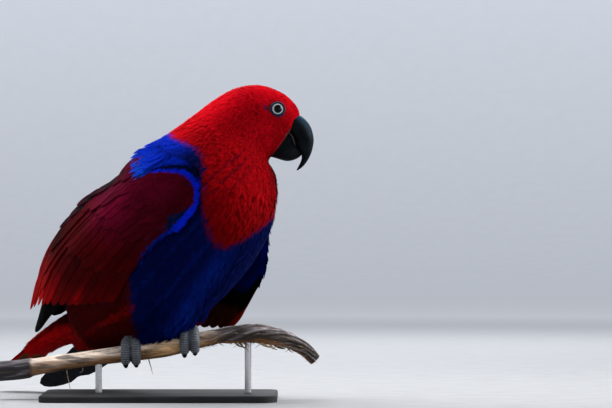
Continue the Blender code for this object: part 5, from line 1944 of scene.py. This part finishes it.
def add_fibres(material):
    """Loose strips of bark that hang from the branch."""
    strips, tints = [], []
    draw = np.random.default_rng(500)
    for x, angle, length, drift, thick in FIBRES:
        start = round_perch(x, angle, -0.6)
        bend = draw.uniform(-2, 2)
        s = np.linspace(0, 1, 16)
        sideways = drift * s**1.3 + bend * np.sin(s * 3)
        centres = start + np.stack([sideways, -1.5 * s, -length * s + 1.5 * s**3], -1)
        strips.append(lofted("strip", tube_rings(centres, thick * (1 - 0.75 * s), sides=8)))
    for _ in range(SPLINTERS):
        x = draw.uniform(36, 115)
        angle = draw.uniform(70, 290)
        length = draw.uniform(2.0, 5.5)
        start = round_perch(x, angle, -0.8)
        outward = unit(start - perch_at(x)[0])
        s = np.linspace(0, 1, 8)[:, None]
        way = outward * draw.uniform(0.12, 0.4) + np.array((draw.choice((-1.2, 1.2)), 0, -0.2))
        centres = start + way * length * s + np.array((0, 0, -0.25)) * length * s**2
        radii = draw.uniform(0.2, 0.55) * (1 - 0.8 * s[:, 0])
        strips.append(lofted("strip", tube_rings(centres, radii, sides=6)))
    for strip in strips:
        tint = blend(FIBRE_PALE, FIBRE_DARK, draw.uniform(0, 1) ** 1.5)
        tints.append(np.tile(tint, (len(strip.data.vertices), 1)))
    piece = merged("fibres", strips)
    add_tint(piece, np.concatenate(tints))
    return dress(piece, material)


def dress_stand():
    """The stand's own nodes stay in view, so they only get their materials."""
    coat, steel = stand_material(), steel_material()
    for name, material in (("stand_base", coat), ("stand_rod_left", steel), ("stand_rod_right", steel)):
        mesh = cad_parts[name].data
        mesh.materials.clear()
        mesh.materials.append(material)


# ---------------------------------------------------------------- studio
def studio_floor():
    """A round pale floor that sweeps up into a low wall all round."""
    rows = [(r, 0.0) for r in (0.01, 500.0, 1500.0, 3000.0, FLOOR_RADIUS)]
    for angle in np.linspace(0.1, math.pi / 2, 16):
        rows.append((FLOOR_RADIUS + SWEEP * math.sin(angle), SWEEP - SWEEP * math.cos(angle)))
    rows.append((FLOOR_RADIUS + SWEEP, WALL_TOP))
    turns = full_circle(96)
    points = [(r * math.cos(t), r * math.sin(t), z) for r, z in rows for t in turns]
    floor = mesh_piece("studio_floor", points, grid_faces(len(rows), len(turns), close=True))
    material, tree, shader = new_material("studio_paper")
    colour = mixed(tree, mottle(tree, noise_value(tree, 40)), (0.300, 0.305, 0.315), (0.325, 0.330, 0.340))
    finish_material(tree, shader, colour, 0.9, specular=0.0)
    x, y, z = node(tree, "ShaderNodeSeparateXYZ", ((0, object_place(tree)),)).outputs
    reach = math_node(tree, "ADD", times(tree, x, x), times(tree, y, y))
    wall = ramp(tree, z, 0.0, 0.8, 0.0, 0.26)
    glow = math_node(tree, "ADD", ramp(tree, reach, 0.3, 5.0, 0.0, 0.44), wall)
    shader.inputs["Emission Color"].default_value = (0.80, 0.85, 0.95, 1)
    feed(tree, shader.inputs["Emission Strength"], glow)
    floor.data.materials.append(material)


def area_light(name, place, target, size, power, colour, spread=180):
    lamp = bpy.data.lights.new(name, "AREA")
    lamp.shape = "RECTANGLE"
    lamp.size, lamp.size_y = (side * MM for side in size)
    lamp.energy = power
    lamp.spread = math.radians(spread)
    lamp.color = colour
    holder = new_object(name, lamp)
    holder.visible_camera = False
    holder.location = Vector(place) * MM
    holder.rotation_euler = (Vector(target) - Vector(place)).to_track_quat("-Z", "Y").to_euler()


def add_studio():
    studio_floor()
    middle = (0, 0, 130)
    area_light("sky_panel", (-300, 350, 1500), middle, (1500, 1200), 46.0, (0.97, 0.98, 1.0))
    area_light("key_panel", (-1100, -900, 1000), middle, (800, 800), 3.0, (1.0, 0.985, 0.96))
    area_light("fill_panel", (1300, -1100, 500), middle, (1100, 900), 2.6, (0.96, 0.98, 1.0))
    area_light("rim_panel", (1480, 100, 700), middle, (500, 700), 3.9, (1.0, 0.99, 0.97), spread=60)
    area_light("back_panel", (300, 1300, 900), middle, (900, 700), 12.0, (0.95, 0.97, 1.0))
    world = bpy.data.worlds.new("studio")
    world.use_nodes = True
    background = world.node_tree.nodes["Background"]
    background.inputs["Color"].default_value = (0.80, 0.82, 0.86, 1)
    background.inputs["Strength"].default_value = 0.18
    bpy.context.scene.world = world
    bpy.context.scene.view_settings.view_transform = "Standard"


def add_camera():
    """A level camera that looks along +Y at the photograph's scale."""
    camera = bpy.data.cameras.new("camera")
    camera.sensor_width = SENSOR
    camera.lens = SENSOR * CAMERA_DISTANCE / (IMAGE_WIDTH * PIXEL)
    camera.clip_end = 50.0
    holder = new_object("camera", camera)
    holder.location = (Vector(CAMERA_TARGET) - Vector((0, CAMERA_DISTANCE, 0))) * MM
    holder.rotation_euler = (math.pi / 2, 0, 0)
    bpy.context.scene.camera = holder


# ---------------------------------------------------------------- the whole
def dress_bird():
    plumage = plumage_material("plumage", roughness=0.68)
    vanes = vane_material("vanes", roughness=0.56)
    horn = horn_material("horn", HORN_BLACK, HORN_GREY, roughness=0.38, grain=2.5)
    eyes = eye_places()
    skin = add_skin()
    tree = bvh(skin)
    add_trunk_coats(plumage, eyes)
    add_cape(plumage)
    add_thigh_coats(plumage, tree)
    for side in SIDES:
        wing_core(side, plumage)
        add_wing_vanes(side, vanes)
        add_wing_coats(side, plumage)
    tail_core(plumage)
    add_tail(vanes, plumage)
    add_bill(horn)
    add_gape(horn)
    add_mouth(horn)
    add_eyes(iris_material(), lid_material(), eyes)
    foot_look = foot_material()
    for side in SIDES:
        add_foot(side, foot_look)
        add_claws(side, horn)


def main():
    dress_bird()
    bark = bark_material()
    add_perch(bark)
    add_fibres(bark)
    dress_stand()
    add_studio()
    add_camera()


main()
